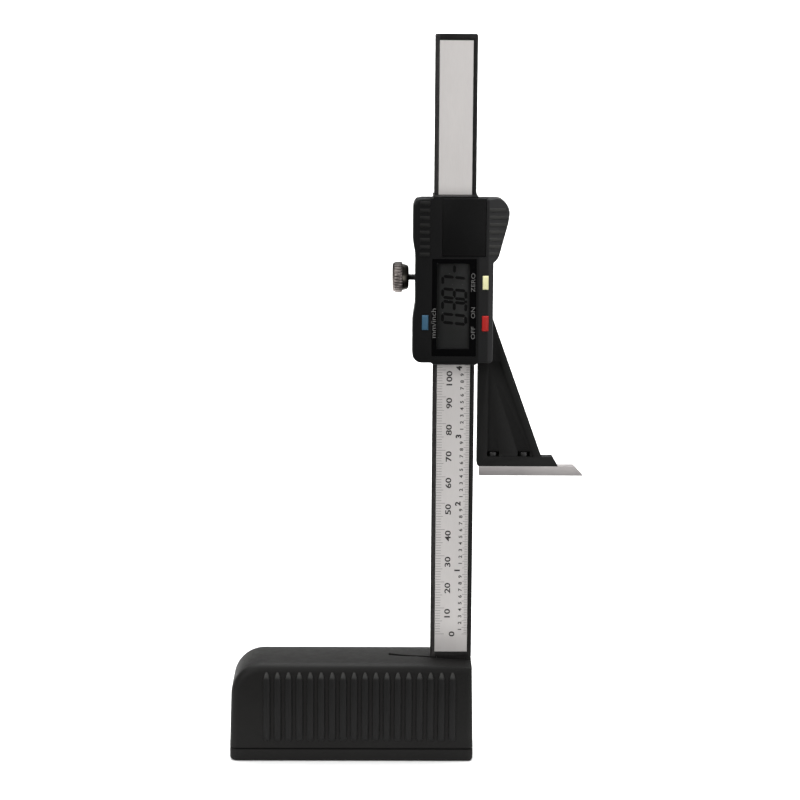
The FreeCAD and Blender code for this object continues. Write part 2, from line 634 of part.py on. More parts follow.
def make_beam_fastenings():
    """Inserts and screws that hold the tang, and the stop at the beam's top."""
    inserts = new_body("beam_inserts")
    insert_back = BEAM_FRONT - S.socket_clearance
    pad(inserts, "sleeves", "y", insert_back - S.insert_length, insert_back,
        lambda sketch: [draw_hexagon(sketch, (BEAM_X, level), S.insert_radius)
                        for level in TANG_SCREW_LEVELS])
    cut(inserts, "threads", "y", insert_back - S.insert_length - 1, insert_back + 1,
        lambda sketch: [draw_circle(sketch, (BEAM_X, level),
                                    S.tang_screw_radius + S.running_gap)
                        for level in TANG_SCREW_LEVELS])
    head_top = HALF_DEPTH - S.tang_head_sunk + S.tang_head_height
    screw_set("beam_screws", [(BEAM_X, head_top, level) for level in TANG_SCREW_LEVELS],
              "-y", S.tang_screw_radius, S.tang_screw_length, S.tang_head_radius,
              S.tang_head_height)
    stop = new_body("end_stop")
    half = S.stop_width / 2
    pad(stop, "plate", "y", BEAM_BACK, BEAM_BACK + S.stop_thickness, lambda sketch: draw_box(
        sketch, BEAM_X - half, STOP_LOW, BEAM_X + half, STOP_HIGH))
    dress(stop, "corners", "Chamfer", S.stop_thickness / 2, upright_at("y", [
        (BEAM_X + side * half, level) for side in (-1, 1) for level in (STOP_LOW, STOP_HIGH)]))
    cut(stop, "hole", "y", BEAM_BACK - 1, BEAM_BACK + S.stop_thickness + 1, lambda sketch:
        draw_circle(sketch, (BEAM_X, STOP_SCREW_LEVEL),
                    S.stop_screw_radius + S.screw_clearance))
    stop_top = BEAM_BACK + S.stop_thickness + S.stop_head_height
    screw_set("end_stop_screw", [(BEAM_X, stop_top, STOP_SCREW_LEVEL)], "-y",
              S.stop_screw_radius, S.stop_thickness + S.stop_screw_grip, S.stop_head_radius,
              S.stop_head_height)


def slider_outline(inset):
    """The slider's outline in its own frame, from the lower left corner, counter-clockwise."""
    low, high = S.cover_low + inset, S.cover_high - inset
    right = S.waist_right - inset
    grip = -S.grip_left + inset
    waist = -S.waist_left + inset
    return [
        (grip, low), (-S.collar_half, low), (-S.collar_half + S.collar_slope, S.collar_low),
        (S.collar_half - S.collar_slope, S.collar_low), (S.collar_half, low), (right, low),
        (right, S.thumb_heel), (S.thumb_foot - inset, S.thumb_low),
        (S.thumb_reach - inset, S.thumb_level), (S.thumb_top - inset, high),
        (S.collar_half + S.collar_slope, high), (S.collar_half, S.collar_high),
        (-S.collar_half, S.collar_high), (-S.collar_half - S.collar_slope, high),
        (grip, high), (grip, S.grip_low), (waist, S.grip_low - S.grip_blend),
        (waist, S.heel_high + S.heel_blend), (grip, S.heel_high)]


def round_slider(body, inset):
    """Round the outline's corners along Y."""
    outline = slider_outline(inset)
    dress(body, "left_corners", "Fillet", S.slider_corner,
          upright_at("y", [outline[0], outline[14]]))
    dress(body, "thumb_corners", "Fillet", S.thumb_corner,
          upright_at("y", [outline[8], outline[9]]))
    dress(body, "soft_corners", "Fillet", S.thumb_corner / 2,
          upright_at("y", [outline[5], outline[7]]))


def arm_slope(level):
    """How far out the arm's sloping edge lies at a level."""
    foot = S.blade_thickness + S.arm_foot
    lean = (S.arm_low - S.arm_high) / (S.arm_crown - foot)
    return S.arm_low - (level - foot) * lean


def make_slider_body():
    """Body that wraps the beam, with the webbed arm that carries the blade."""
    body = new_body("slider_body")
    inset = S.parting_inset
    pad(body, "block", "y", BODY_FRONT, S.body_back,
        lambda sketch: draw_loop(sketch, slider_outline(inset)))
    round_slider(body, inset)
    arm_left = BEAM_HALF + S.arm_gap
    foot = S.blade_thickness + S.arm_foot
    half = S.arm_thickness / 2
    pad(body, "arm", "y", -half, half, lambda sketch: draw_loop(sketch, [
        (arm_left, S.blade_thickness), (S.toe_low, S.blade_thickness), (S.toe_high, foot),
        (S.arm_low, foot), (S.arm_high, S.arm_crown),
        (S.waist_right - 1, S.arm_crown + S.arm_flange),
        (arm_left, S.arm_crown + S.arm_flange)]))
    web_top = S.collar_low
    nut_top = foot + S.nut_height + S.nut_room
    for name, low, high, web_low in (
            ("front_web", -half - 1, -half + S.arm_recess, foot),
            ("rear_web", half - S.arm_recess, half + 1, nut_top + S.nut_wall)):
        cut(body, name, "y", low, high, lambda sketch: draw_loop(sketch, [
            (arm_left + S.arm_flange, web_low), (arm_slope(web_low) - S.arm_rib, web_low),
            (arm_slope(web_top) - S.arm_rib, web_top), (arm_left + S.arm_flange, web_top)]))
    dress(body, "heel", "Fillet", S.arm_corner,
          upright_at("y", [(arm_left, S.blade_thickness)]))
    reach = S.nut_radius + S.nut_room
    nut_back = S.nut_radius * round(math.cos(math.radians(30)), 6) + S.screw_clearance
    cut(body, "nut_wells", "y", -half - 1, nut_back, lambda sketch: [draw_box(
        sketch, x - reach, foot, x + reach, nut_top) for x in BLADE_SCREW_XS])
    cut(body, "blade_holes", "z", S.blade_thickness - 1, foot + 1, lambda sketch: [
        draw_circle(sketch, (x, 0), S.blade_screw_radius + S.screw_clearance)
        for x in BLADE_SCREW_XS])
    channel_low, channel_high = S.collar_low - 1, S.collar_high + 1
    cut(body, "beam_channel", "z", channel_low, channel_high, lambda sketch: draw_box(
        sketch, CHANNEL_LEFT, BEAM_FRONT - S.running_gap, CHANNEL_RIGHT, CHANNEL_BACK))
    mouth = BEAM_HALF - S.lip_overlap
    cut(body, "front_mouth", "z", channel_low, channel_high, lambda sketch: draw_box(
        sketch, -mouth, BODY_FRONT - 1, mouth, BEAM_FRONT))
    cut(body, "side_threads", "x", -S.grip_left - 1, CHANNEL_LEFT + 0.5, lambda sketch: [
        draw_circle(sketch, (0, S.lock_level), S.lock_radius + S.running_gap),
        *[draw_circle(sketch, (0, level), S.gib_screw_radius + S.running_gap)
          for level in GIB_SCREW_LEVELS]])
    cut(body, "cover_holes", "y", BODY_FRONT - 1, S.body_back + 1, lambda sketch: [
        draw_circle(sketch, spot, S.cover_screw_radius + S.screw_clearance)
        for spot in COVER_SCREW_SPOTS])
    cut(body, "cover_head_wells", "y", S.body_back - S.cover_head_sunk, S.body_back + 1,
        lambda sketch: [draw_circle(sketch, spot, S.cover_head_radius + S.head_room)
                        for spot in COVER_SCREW_SPOTS])
    on_slider(body)


def make_gib():
    """Brass gib and its grub screws."""
    gib = new_body("gib_strip")
    inner = -BEAM_HALF - S.running_gap
    pad(gib, "strip", "z", S.gib_low, S.gib_low + S.gib_length, lambda sketch: draw_box(
        sketch, inner - S.gib_thickness, -S.gib_depth / 2, inner, S.gib_depth / 2))
    on_slider(gib)
    start = BEAM_X + CHANNEL_LEFT
    screw_set("gib_screws", [(start, 0, S.rest_height + level) for level in GIB_SCREW_LEVELS],
              "-x", S.gib_screw_radius, S.gib_screw_length)


def make_blade():
    """Steel blade with a 45 degree tip, its screws from below and the nuts on the arm."""
    blade = new_body("scriber_blade")
    half = S.blade_depth / 2
    pad(blade, "bar", "y", -half, half, lambda sketch: draw_loop(sketch, [
        (S.blade_start, 0), (S.blade_end, 0), (S.blade_end - S.blade_thickness,
                                               S.blade_thickness),
        (S.blade_start, S.blade_thickness)]))
    cut(blade, "holes", "z", -1, S.blade_thickness + 1, lambda sketch: [
        draw_circle(sketch, (x, 0), S.blade_screw_radius + S.screw_clearance)
        for x in BLADE_SCREW_XS])
    dress(blade, "head_seats", "Chamfer", S.blade_head_radius - S.blade_screw_radius,
          seat_edges([(x, 0) for x in BLADE_SCREW_XS], 0))
    on_slider(blade)
    foot = S.blade_thickness + S.arm_foot
    screw_set("blade_screws", [(BEAM_X + x, 0, S.rest_height) for x in BLADE_SCREW_XS],
              "+z", S.blade_screw_radius, foot + S.nut_height, S.blade_head_radius,
              S.blade_head_radius - S.blade_screw_radius, flush=True)
    nuts = new_body("blade_nuts")
    pad(nuts, "hexagons", "z", foot, foot + S.nut_height, lambda sketch: [
        draw_hexagon(sketch, (x, as_size(0)), S.nut_radius) for x in BLADE_SCREW_XS])
    cut(nuts, "threads", "z", foot - 1, foot + S.nut_height + 1, lambda sketch: [
        draw_circle(sketch, (x, 0), S.blade_screw_radius + S.running_gap)
        for x in BLADE_SCREW_XS])
    on_slider(nuts)


def make_lock():
    """Lock screw: a shank that presses the gib and a grooved knob on its outer end."""
    shank = new_body("lock_shank")
    pad(shank, "rod", "x", -S.knob_inner, CHANNEL_LEFT, lambda sketch: draw_circle(
        sketch, (0, 0), S.lock_radius))
    knob = new_body("lock_knob")
    pad(knob, "head", "x", -S.knob_outer, -S.knob_inner, lambda sketch: draw_circle(
        sketch, (0, 0), S.knob_radius))
    dress(knob, "rim", "Chamfer", S.knob_rim, on_plane("x", -S.knob_outer))
    pad(knob, "neck", "x", -S.knob_inner, -S.knob_neck, lambda sketch: draw_circle(
        sketch, (0, 0), S.knob_neck_radius))
    dress(knob, "neck_edge", "Chamfer", S.knob_neck_edge, on_plane("x", -S.knob_neck))
    cut(knob, "bore", "x", -S.knob_inner, -S.knob_neck + 1, lambda sketch: draw_circle(
        sketch, (0, 0), S.lock_radius + S.running_gap))
    depth = S.knob_groove_depth
    groove = cut(knob, "groove", "x", -S.knob_outer - 1, -S.knob_inner, lambda sketch:
                 draw_loop(sketch, [(0, S.knob_radius - depth),
                                    (depth * 2, S.knob_radius + depth),
                                    (-depth * 2, S.knob_radius + depth)]))
    ring = knob.newObject("PartDesign::PolarPattern", "grooves")
    ring.Originals = [groove]
    ring.Axis = (origin_part(knob, AXES["x"]), [""])
    ring.Angle = 360
    ring.setExpression("Occurrences", S.knob_grooves.text)
    finish_feature(knob, ring)
    for piece in (shank, knob):
        place(piece, x=BEAM_X, z=S.rest_height + S.lock_level)


def make_cover():
    """Display housing: shell with a window ledge, door track, cell hole and finger ridges."""
    body = new_body("slider_cover")
    pad(body, "shell", "y", COVER_FACE, BODY_FRONT,
        lambda sketch: draw_loop(sketch, slider_outline(as_size(0))))
    round_slider(body, as_size(0))
    wall = S.side_wall
    cut(body, "hollow", "y", COVER_INSIDE, BODY_FRONT + 1, lambda sketch: draw_loop(sketch, [
        (-S.waist_left + wall, S.cover_low + wall), (S.waist_right - wall, S.cover_low + wall),
        (S.waist_right - wall, S.cover_high - wall),
        (-S.waist_left + wall, S.cover_high - wall)]))
    for number, spot in enumerate(COVER_SCREW_SPOTS, start=1):
        pad(body, f"boss{number}", "y", COVER_INSIDE, BODY_FRONT, lambda sketch: draw_box(
            sketch, spot[0] - S.cover_boss_half, spot[1] - S.cover_boss_half,
            spot[0] + S.cover_boss_half, spot[1] + S.cover_boss_half))
    cut(body, "threads", "y", S.body_back - S.cover_head_sunk - S.cover_screw_length,
        BODY_FRONT + 1,
        lambda sketch: [draw_circle(sketch, spot, S.cover_screw_radius + S.running_gap)
                        for spot in COVER_SCREW_SPOTS])
    cut(body, "window_seat", "y", COVER_FACE - 1, COVER_FACE + S.window_thickness,
        lambda sketch: draw_box(sketch, S.window_left - S.fit_gap, S.window_low - S.fit_gap,
                                S.window_right + S.fit_gap, S.window_high + S.fit_gap))
    ledge = S.window_ledge
    cut(body, "sight_hole", "y", COVER_FACE, COVER_INSIDE + 1, lambda sketch: draw_box(
        sketch, S.window_left + ledge, S.window_low + ledge, S.window_right - ledge,
        S.window_high - ledge))
    gap = S.door_gap
    door_back = COVER_FACE + S.door_thickness
    cut(body, "door_track", "y", COVER_FACE - 1, door_back + gap, lambda sketch: draw_box(
        sketch, S.door_left - gap, S.door_low - gap, S.door_right + gap, S.collar_high + 1))
    tongue_front = door_back - S.tongue_thickness
    cut(body, "tongue_tracks", "y", tongue_front - gap, door_back + gap,
        lambda sketch: draw_box(sketch, S.door_left - S.door_tongue - gap, S.door_low - gap,
                                S.door_right + S.door_tongue + gap, S.collar_high + 1))
    cut(body, "cell_hole", "y", COVER_FACE, COVER_INSIDE + 1, lambda sketch: draw_circle(
        sketch, (S.cell_x, S.cell_level), S.cell_radius + S.cell_clearance))
    cut(body, "button_holes", "y", COVER_FACE - 1, COVER_INSIDE + 1, lambda sketch: [
        draw_box(sketch, x - width / 2 - S.button_gap, level - height / 2 - S.button_gap,
                 x + width / 2 + S.button_gap, level + height / 2 + S.button_gap)
        for x, level, width, height in BUTTONS.values()])
    for name, count, low, left, right in (
            ("left_ridge", S.left_ridge_count, S.left_ridge_low, S.left_ridge_outer,
             S.left_ridge_inner),
            ("right_ridge", S.right_ridge_count, S.right_ridge_low, S.right_ridge_inner,
             S.right_ridge_outer)):
        ridge = pad(body, name, "y", COVER_FACE - S.ridge_height, COVER_FACE,
                    lambda sketch: draw_box(sketch, left, low, right, low + S.ridge_width))
        row_of(body, name + "s", ridge, "z", count, S.ridge_pitch)
    on_slider(body)
    head_top = S.body_back - S.cover_head_sunk + S.cover_head_height
    screw_set("cover_screws",
              [(BEAM_X + x, head_top, S.rest_height + level)
               for x, level in COVER_SCREW_SPOTS], "-y", S.cover_screw_radius,
              S.cover_screw_length - S.fit_gap, S.cover_head_radius, S.cover_head_height)


def make_display():
    """Window, display glass, contact strip and circuit board."""
    window = new_body("display_window")
    pad(window, "pane", "y", COVER_FACE, COVER_FACE + S.window_thickness, lambda sketch:
        draw_box(sketch, S.window_left, S.window_low, S.window_right, S.window_high))
    on_slider(window)
    panel = new_body("lcd_panel")
    lcd_front = COVER_INSIDE + S.fit_gap
    lcd_back = lcd_front + S.lcd_thickness
    pad(panel, "glass", "y", lcd_front, lcd_back, lambda sketch: draw_box(
        sketch, S.lcd_left, S.lcd_low, S.lcd_right, S.lcd_high))
    on_slider(panel)
    contact = new_body("contact_strip")
    middle = (S.lcd_low + S.lcd_high) / 2
    pad(contact, "rubber", "y", lcd_back, BOARD_FRONT, lambda sketch: draw_box(
        sketch, S.lcd_right - S.contact_width, middle - S.contact_length / 2, S.lcd_right,
        middle + S.contact_length / 2))
    on_slider(contact)
    board = new_body("main_board")
    pad(board, "laminate", "y", BOARD_FRONT, BODY_FRONT, lambda sketch: draw_box(
        sketch, S.board_left, S.board_low, S.board_right, S.board_high))
    on_slider(board)
    switches = new_body("key_switches")
    half = S.switch_half
    pad(switches, "pads", "y", BOARD_FRONT - S.switch_height, BOARD_FRONT, lambda sketch: [
        draw_box(sketch, x - half, level - half, x + half, level + half)
        for x, level, width, height in BUTTONS.values()])
    on_slider(switches)


def make_cell():
    """Button cell, its contact and the sliding door."""
    contact = new_body("battery_contact")
    spot = (S.cell_x, S.cell_level)
    half = S.contact_half
    pad(contact, "plate", "y", BOARD_FRONT - S.contact_sheet, BOARD_FRONT,
        lambda sketch: draw_box(sketch, S.cell_x - half, S.cell_level - half,
                                S.cell_x + half, S.cell_level + half))
    on_slider(contact)
    cell = new_body("battery")
    cell_back = BOARD_FRONT - S.contact_sheet
    rim = cell_back - S.cell_thickness + S.cell_rim
    pad(cell, "can", "y", rim, cell_back,
        lambda sketch: draw_circle(sketch, spot, S.cell_radius))
    pad(cell, "cap", "y", cell_back - S.cell_thickness, rim,
        lambda sketch: draw_circle(sketch, spot, S.cell_radius - S.cell_rim * 2))
    on_slider(cell)
    door = new_body("battery_door")
    door_back = COVER_FACE + S.door_thickness
    pad(door, "plate", "y", COVER_FACE, door_back, lambda sketch: draw_box(
        sketch, S.door_left, S.door_low, S.door_right, S.cover_high))
    pad(door, "tongues", "y", door_back - S.tongue_thickness, door_back,
        lambda sketch: draw_box(sketch, S.door_left - S.door_tongue, S.door_low,
                                S.door_right + S.door_tongue, S.cover_high))
    on_slider(door)


def make_buttons():
    """Three push buttons: a cap, a flange behind the wall and a stem above its switch."""
    for name, (x, level, width, height) in BUTTONS.items():
        button = new_body(name)
        flange_back = COVER_INSIDE + S.press_gap + S.button_flange
        pad(button, "cap", "y", COVER_FACE - S.button_proud, flange_back, lambda sketch:
            draw_box(sketch, x - width / 2, level - height / 2, x + width / 2,
                     level + height / 2))
        dress(button, "soft_cap", "Chamfer", S.cap_edge,
              on_plane("y", COVER_FACE - S.button_proud))
        pad(button, "flange", "y", COVER_INSIDE + S.press_gap, flange_back, lambda sketch:
            draw_box(sketch, x - width / 2, level - height / 2 - S.button_flange,
                     x + width / 2, level + height / 2 + S.button_flange))
        stem_end = BOARD_FRONT - S.switch_height - S.button_travel - S.press_gap
        half = S.stem_half
        pad(button, "stem", "y", flange_back, stem_end, lambda sketch:
            draw_box(sketch, x - half, level - half, x + half, level + half))
        on_slider(button)


def export_nodes():
    """Check every object and write one file for each node."""
    doc.recompute()
    for item in doc.Objects:
        if "Invalid" in item.State or "Error" in item.State:
            raise RuntimeError(f"{item.Label} failed")
    os.makedirs("parts", exist_ok=True)
    for node in NODES:
        shape = node.Shape
        if shape.isNull() or not shape.isValid() or not shape.Solids:
            raise RuntimeError(f"{node.Label} has no valid solid")
        shape.exportStep(os.path.join("parts", node.Label + ".step"))
        print(f"{node.Label}: {len(shape.Solids)} solids, {shape.Volume:.1f} cubic mm")


make_housing()
make_plate()
make_base_fillings()
make_beam()
make_beam_fastenings()
make_slider_body()
make_gib()
make_blade()
make_lock()
make_cover()
make_display()
make_cell()
make_buttons()
export_nodes()
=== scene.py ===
"""Digital height gauge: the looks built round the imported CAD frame.

Lengths are millimetres in this file and metres in Blender. Slider pieces are drawn in the
slider's own frame, whose zero is the beam's centre line at the level of the blade's underside.
"""

import logging
import math
from collections.abc import Callable, Iterable, Sequence
from dataclasses import dataclass, field
from enum import Enum

import bmesh
import bpy
from mathutils import Matrix, Vector


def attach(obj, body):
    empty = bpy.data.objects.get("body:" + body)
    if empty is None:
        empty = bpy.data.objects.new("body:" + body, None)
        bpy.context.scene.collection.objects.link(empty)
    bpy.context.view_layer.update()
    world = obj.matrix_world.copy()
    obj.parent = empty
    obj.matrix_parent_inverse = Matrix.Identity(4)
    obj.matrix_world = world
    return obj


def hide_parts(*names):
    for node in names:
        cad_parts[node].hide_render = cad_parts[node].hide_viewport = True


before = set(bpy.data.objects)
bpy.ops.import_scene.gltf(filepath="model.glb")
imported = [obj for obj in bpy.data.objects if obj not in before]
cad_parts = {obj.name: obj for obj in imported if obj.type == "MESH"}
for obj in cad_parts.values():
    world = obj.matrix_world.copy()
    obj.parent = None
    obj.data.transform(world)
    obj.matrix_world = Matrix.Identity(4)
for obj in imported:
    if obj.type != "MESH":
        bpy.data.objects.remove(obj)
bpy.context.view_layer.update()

LOG = logging.getLogger("height_gauge")
MM = 0.001
PER_METRE = 1000.0
# The beam's centre line, and the level of the blade's underside with the slider at rest.
BEAM_X = 37.0
REST = 106.6
# How far a cutter passes the face that it cuts.
PAST = 2.0
# Lettering lies on the front and reads upwards.
CLIMBING = Matrix(((0, -1, 0, 0), (0, 0, -1, 0), (1, 0, 0, 0), (0, 0, 0, 1)))

Spot = tuple[float, float, float]
Flat = tuple[float, float]
Tone = tuple[float, float, float]
EdgeTest = Callable[[Vector, Vector], bool]


class Way(Enum):
    """A direction of the frame."""

    X = 0
    Y = 1
    Z = 2

    def lift(self, flat: Flat, level: float) -> Vector:
        """Place a flat point in the plane square to this direction.

        Args:
            flat: the two lengths across the direction, in the frame's order.
            level: the length along the direction.

        Returns:
            The point in metres.
        """
        spot = list(flat)
        spot.insert(self.value, level)
        return Vector(spot) * MM

    def across(self, point: Vector) -> Flat:
        """The two lengths of a point across this direction."""
        left = [point[i] for i in range(3) if i != self.value]
        return left[0], left[1]


class Join(Enum):
    """What a Boolean does with the second piece."""

    CUT = "DIFFERENCE"
    FUSE = "UNION"


class Anchor(Enum):
    """Which point of a sign is set on its place."""

    MIDDLE = "CENTER"
    END = "RIGHT"


def on_level(way: Way, level: float, slack: float = 0.02) -> EdgeTest:
    """A test for edges that lie in a plane square to a direction."""
    return lambda a, b: abs(a[way.value] - level) < slack and abs(b[way.value] - level) < slack


def runs_at(way: Way, spots: Iterable[Flat], slack: float = 0.05) -> EdgeTest:
    """A test for edges that run along a direction through given flat points.

    Args:
        way: the direction.
        spots: where such edges cross a plane square to it.
        slack: how far off they may be.

    Returns:
        The test.
    """
    places = list(spots)

    def test(a: Vector, b: Vector) -> bool:
        """Whether the edge's two ends share one of the places.

        Args:
            a: one end.
            b: the other end.

        Returns:
            Whether they do.
        """
        first, second = way.across(a), way.across(b)
        if math.dist(first, second) > slack:
            return False
        return any(math.dist(first, place) < slack for place in places)
    return test


class Piece:
    """One mesh under the maker's hands; its place is kept in its mesh."""

    def __init__(self, obj: bpy.types.Object) -> None:
        """Take over an object."""
        self.obj = obj

    @staticmethod
    def clear() -> None:
        """Leave edit mode and deselect everything."""
        if bpy.context.object and bpy.context.object.mode != "OBJECT":
            bpy.ops.object.mode_set(mode="OBJECT")
        bpy.ops.object.select_all(action="DESELECT")

    @classmethod
    def settle(cls, name: str) -> "Piece":
        """Name the new primitive and put its place into its mesh.

        Args:
            name: the piece's name.

        Returns:
            The new piece.
        """
        obj = bpy.context.active_object
        obj.name = obj.data.name = name
        bpy.ops.object.transform_apply(location=True, rotation=True, scale=True)
        return cls(obj)

    @classmethod
    def block(cls, name: str, low: Spot, high: Spot) -> "Piece":
        """A cube brought to its size and place.

        Args:
            name: the piece's name.
            low: its lowest corner.
            high: its highest corner.

        Returns:
            The new piece.
        """
        cls.clear()
        centre = (Vector(low) + Vector(high)) * MM / 2
        bpy.ops.mesh.primitive_cube_add(size=1, location=centre)
        bpy.context.active_object.scale = (Vector(high) - Vector(low)) * MM
        return cls.settle(name)

    @classmethod
    def loft(cls, name: str, rings: Sequence[tuple[float, Sequence[Flat]]], way: Way) -> "Piece":
        """A form drawn ring by ring: a circle's points, extruded from each ring to the next.

        Args:
            name: the piece's name.
            rings: the level and the corners of each ring, with as many corners in each.
            way: the direction that the levels run along.

        Returns:
            The new piece.
        """
        cls.clear()
        level, ring = rings[0]
        bpy.ops.mesh.primitive_circle_add(vertices=len(ring), fill_type="NGON")
        piece = cls.settle(name)
        for vertex, spot in zip(piece.obj.data.vertices, ring):
            vertex.co = way.lift(spot, level)
        bpy.ops.object.mode_set(mode="EDIT")
        bpy.ops.mesh.select_all(action="SELECT")
        for (_, old), (level, ring) in zip(rings, rings[1:]):
            bpy.ops.mesh.extrude_region_move(TRANSFORM_OT_translate={"value": (0, 0, 0)})
            mesh = bmesh.from_edit_mesh(piece.obj.data)
            for vertex in [corner for corner in mesh.verts if corner.select]:
                flat = way.across(vertex.co / MM)
                near = min(range(len(old)), key=lambda i, f=flat: math.dist(f, old[i]))
                vertex.co = way.lift(ring[near], level)
            bmesh.update_edit_mesh(piece.obj.data)
        bpy.ops.mesh.select_all(action="SELECT")
        bpy.ops.mesh.normals_make_consistent(inside=False)
        bpy.ops.object.mode_set(mode="OBJECT")
        return piece

    @classmethod
    def prism(cls, name: str, outline: Sequence[Flat], way: Way, low: float,
              high: float) -> "Piece":
        """A flat outline extruded along a direction from one level to another."""
        return cls.loft(name, [(low, outline), (high, outline)], way)

    @classmethod
    def rod(cls, name: str, way: Way, centre: Flat, radius: float, low: float, high: float,
            sides: int = 48, far_radius: float | None = None) -> "Piece":
        """A round bar or taper along a direction.

        Args:
            name: the piece's name.
            way: the direction of its axis.
            centre: where the axis crosses a plane square to it.
            radius: the radius at the low end.
            low: where it starts.
            high: where it ends.
            sides: how many facets it has.
            far_radius: the radius at the high end, the same when left out.

        Returns:
            The new piece.
        """
        cls.clear()
        far = radius if far_radius is None else far_radius
        turn = {Way.X: (0, math.pi / 2, 0), Way.Y: (-math.pi / 2, 0, 0), Way.Z: (0, 0, 0)}[way]
        bpy.ops.mesh.primitive_cone_add(
            vertices=sides, radius1=radius * MM, radius2=far * MM, depth=(high - low) * MM,
            location=way.lift(centre, (low + high) / 2), rotation=turn)
        return cls.settle(name)

    @classmethod
    def from_node(cls, name: str, node: str) -> "Piece":
        """A merged copy of a CAD node's mesh, ready for its edges to be eased.

        Args:
            name: the new piece's name.
            node: the CAD node it copies.

        Returns:
            The new piece.
        """
        cls.clear()
        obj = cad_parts[node].copy()
        obj.data = obj.data.copy()
        bpy.context.scene.collection.objects.link(obj)
        obj.parent = None
        obj.matrix_world = Matrix.Identity(4)
        obj.hide_render = obj.hide_viewport = False
        obj.name = obj.data.name = name
        obj.data.materials.clear()
        bpy.context.view_layer.objects.active = obj
        obj.select_set(True)
        bpy.ops.object.mode_set(mode="EDIT")
        bpy.ops.mesh.select_all(action="SELECT")
        bpy.ops.mesh.customdata_custom_splitnormals_clear()
        bpy.ops.mesh.remove_doubles(threshold=2e-6)
        bpy.ops.mesh.dissolve_limited(angle_limit=math.radians(0.6))
        bpy.ops.mesh.mark_sharp(clear=True)
        bpy.ops.object.mode_set(mode="OBJECT")
        return cls(obj)

    def take(self) -> "Piece":
        """Make this piece the only one selected.

        Returns:
            This piece.
        """
        self.clear()
        self.obj.select_set(True)
        bpy.context.view_layer.objects.active = self.obj
        return self

    def pick_edges(self, test: EdgeTest) -> None:
        """Enter edit mode with the edges that a test picks selected.

        Args:
            test: picks edges by their two ends.
        """
        self.take()
        bpy.ops.object.mode_set(mode="EDIT")
        bpy.ops.mesh.select_mode(type="EDGE")
        bpy.ops.mesh.select_all(action="DESELECT")
        mesh = bmesh.from_edit_mesh(self.obj.data)
        for edge in mesh.edges:
            edge.select_set(test(*(vertex.co / MM for vertex in edge.verts)))
        bmesh.update_edit_mesh(self.obj.data)

    def round_edges(self, test: EdgeTest, width: float, steps: int = 3) -> "Piece":
        """Round the edges that a test picks.

        Args:
            test: picks edges by their two ends.
            width: how far the rounding reaches from the edge.
            steps: its number of facets.

        Returns:
            This piece.
        """
        self.pick_edges(test)
        bpy.ops.mesh.bevel(offset=width * MM, offset_type="OFFSET", segments=steps,
                           affect="EDGES", clamp_overlap=True)
        bpy.ops.object.mode_set(mode="OBJECT")
        return self

    def ease(self, width: float, steps: int = 2, angle: float = 30.0) -> "Piece":
        """Ease every edge sharper than an angle.

        Args:
            width: the size of the easing.
            steps: its number of facets.
            angle: the least angle that counts as an edge, in degrees.

        Returns:
            This piece.
        """
        self.take()
        bpy.ops.object.modifier_add(type="BEVEL")
        easing = self.obj.modifiers[-1]
        easing.width, easing.segments = width * MM, steps
        easing.limit_method, easing.angle_limit = "ANGLE", math.radians(angle)
        easing.miter_outer = "MITER_ARC"
        bpy.ops.object.modifier_apply(modifier=easing.name)
        return self

    def discard(self) -> None:
        """Remove a piece that is used up, with its mesh."""
        spent = self.obj.data
        bpy.data.objects.remove(self.obj, do_unlink=True)
        bpy.data.meshes.remove(spent)

    def combine(self, others: Iterable["Piece"], join: Join) -> "Piece":
        """Apply a Boolean with each of the other pieces, which are used up.

        Args:
            others: the other pieces.
            join: what is done with them.

        Returns:
            This piece.
        """
        for other in others:
            self.take()
            bpy.ops.object.modifier_add(type="BOOLEAN")
            step = self.obj.modifiers[-1]
            step.operation, step.solver, step.object = join.value, "EXACT", other.obj
            bpy.ops.object.modifier_apply(modifier=step.name)
            other.discard()
        return self

    def cut(self, *cutters: "Piece") -> "Piece":
        """Take the cutters away from this piece."""
        return self.combine(cutters, Join.CUT)

    def fuse(self, *others: "Piece") -> "Piece":
        """Grow this piece by the others."""
        return self.combine(others, Join.FUSE)

    def recess(self, way: Way, spots: Iterable[Flat], face: float, sign: int, size: float,
               depth: float) -> "Piece":
        """Cut a cross recess into each of a row of screw heads.

        Args:
            way: the direction of the screws' axes.
            spots: where the axes cross a plane square to it.
            face: the level of the heads' faces.
            sign: which way along the axis the heads look, +1 or -1.
            size: the recess's width over its arms.
            depth: how deep it is.

        Returns:
            This piece.
        """
        low, high = sorted((face - sign * depth, face + sign * 0.5))
        arm, half = size / 2, size / 8
        cross = [(half, half), (half, arm), (-half, arm), (-half, half), (-arm, half),
                 (-arm, -half), (-half, -half), (-half, -arm), (half, -arm), (half, -half),
                 (arm, -half), (arm, half)]
        for spot in spots:
            outline = [(spot[0] + a, spot[1] + b) for a, b in cross]
            self.cut(Piece.prism("recess", outline, way, low, high))
        return self

    def gather(self, name: str, others: Iterable["Piece"]) -> "Piece":
        """Join other meshes to this one without cutting them together.

        Args:
            name: what the whole is called.
            others: the pieces that are joined to this one.

        Returns:
            This piece.
        """
        self.take()
        for other in others:
            other.obj.select_set(True)
        bpy.ops.object.join()
        self.obj.name = self.obj.data.name = name
        return self

    def repeat(self, count: int, step: Spot) -> "Piece":
        """Copy the mesh in a row.

        Args:
            count: how many there are in all.
            step: the offset from one to the next.

        Returns:
            This piece, with all the copies.
        """
        self.take()
        bpy.ops.object.modifier_add(type="ARRAY")
        row = self.obj.modifiers[-1]
        row.count, row.use_relative_offset, row.use_constant_offset = count, False, True
        row.constant_offset_displace = Vector(step) * MM
        bpy.ops.object.modifier_apply(modifier=row.name)
        return self

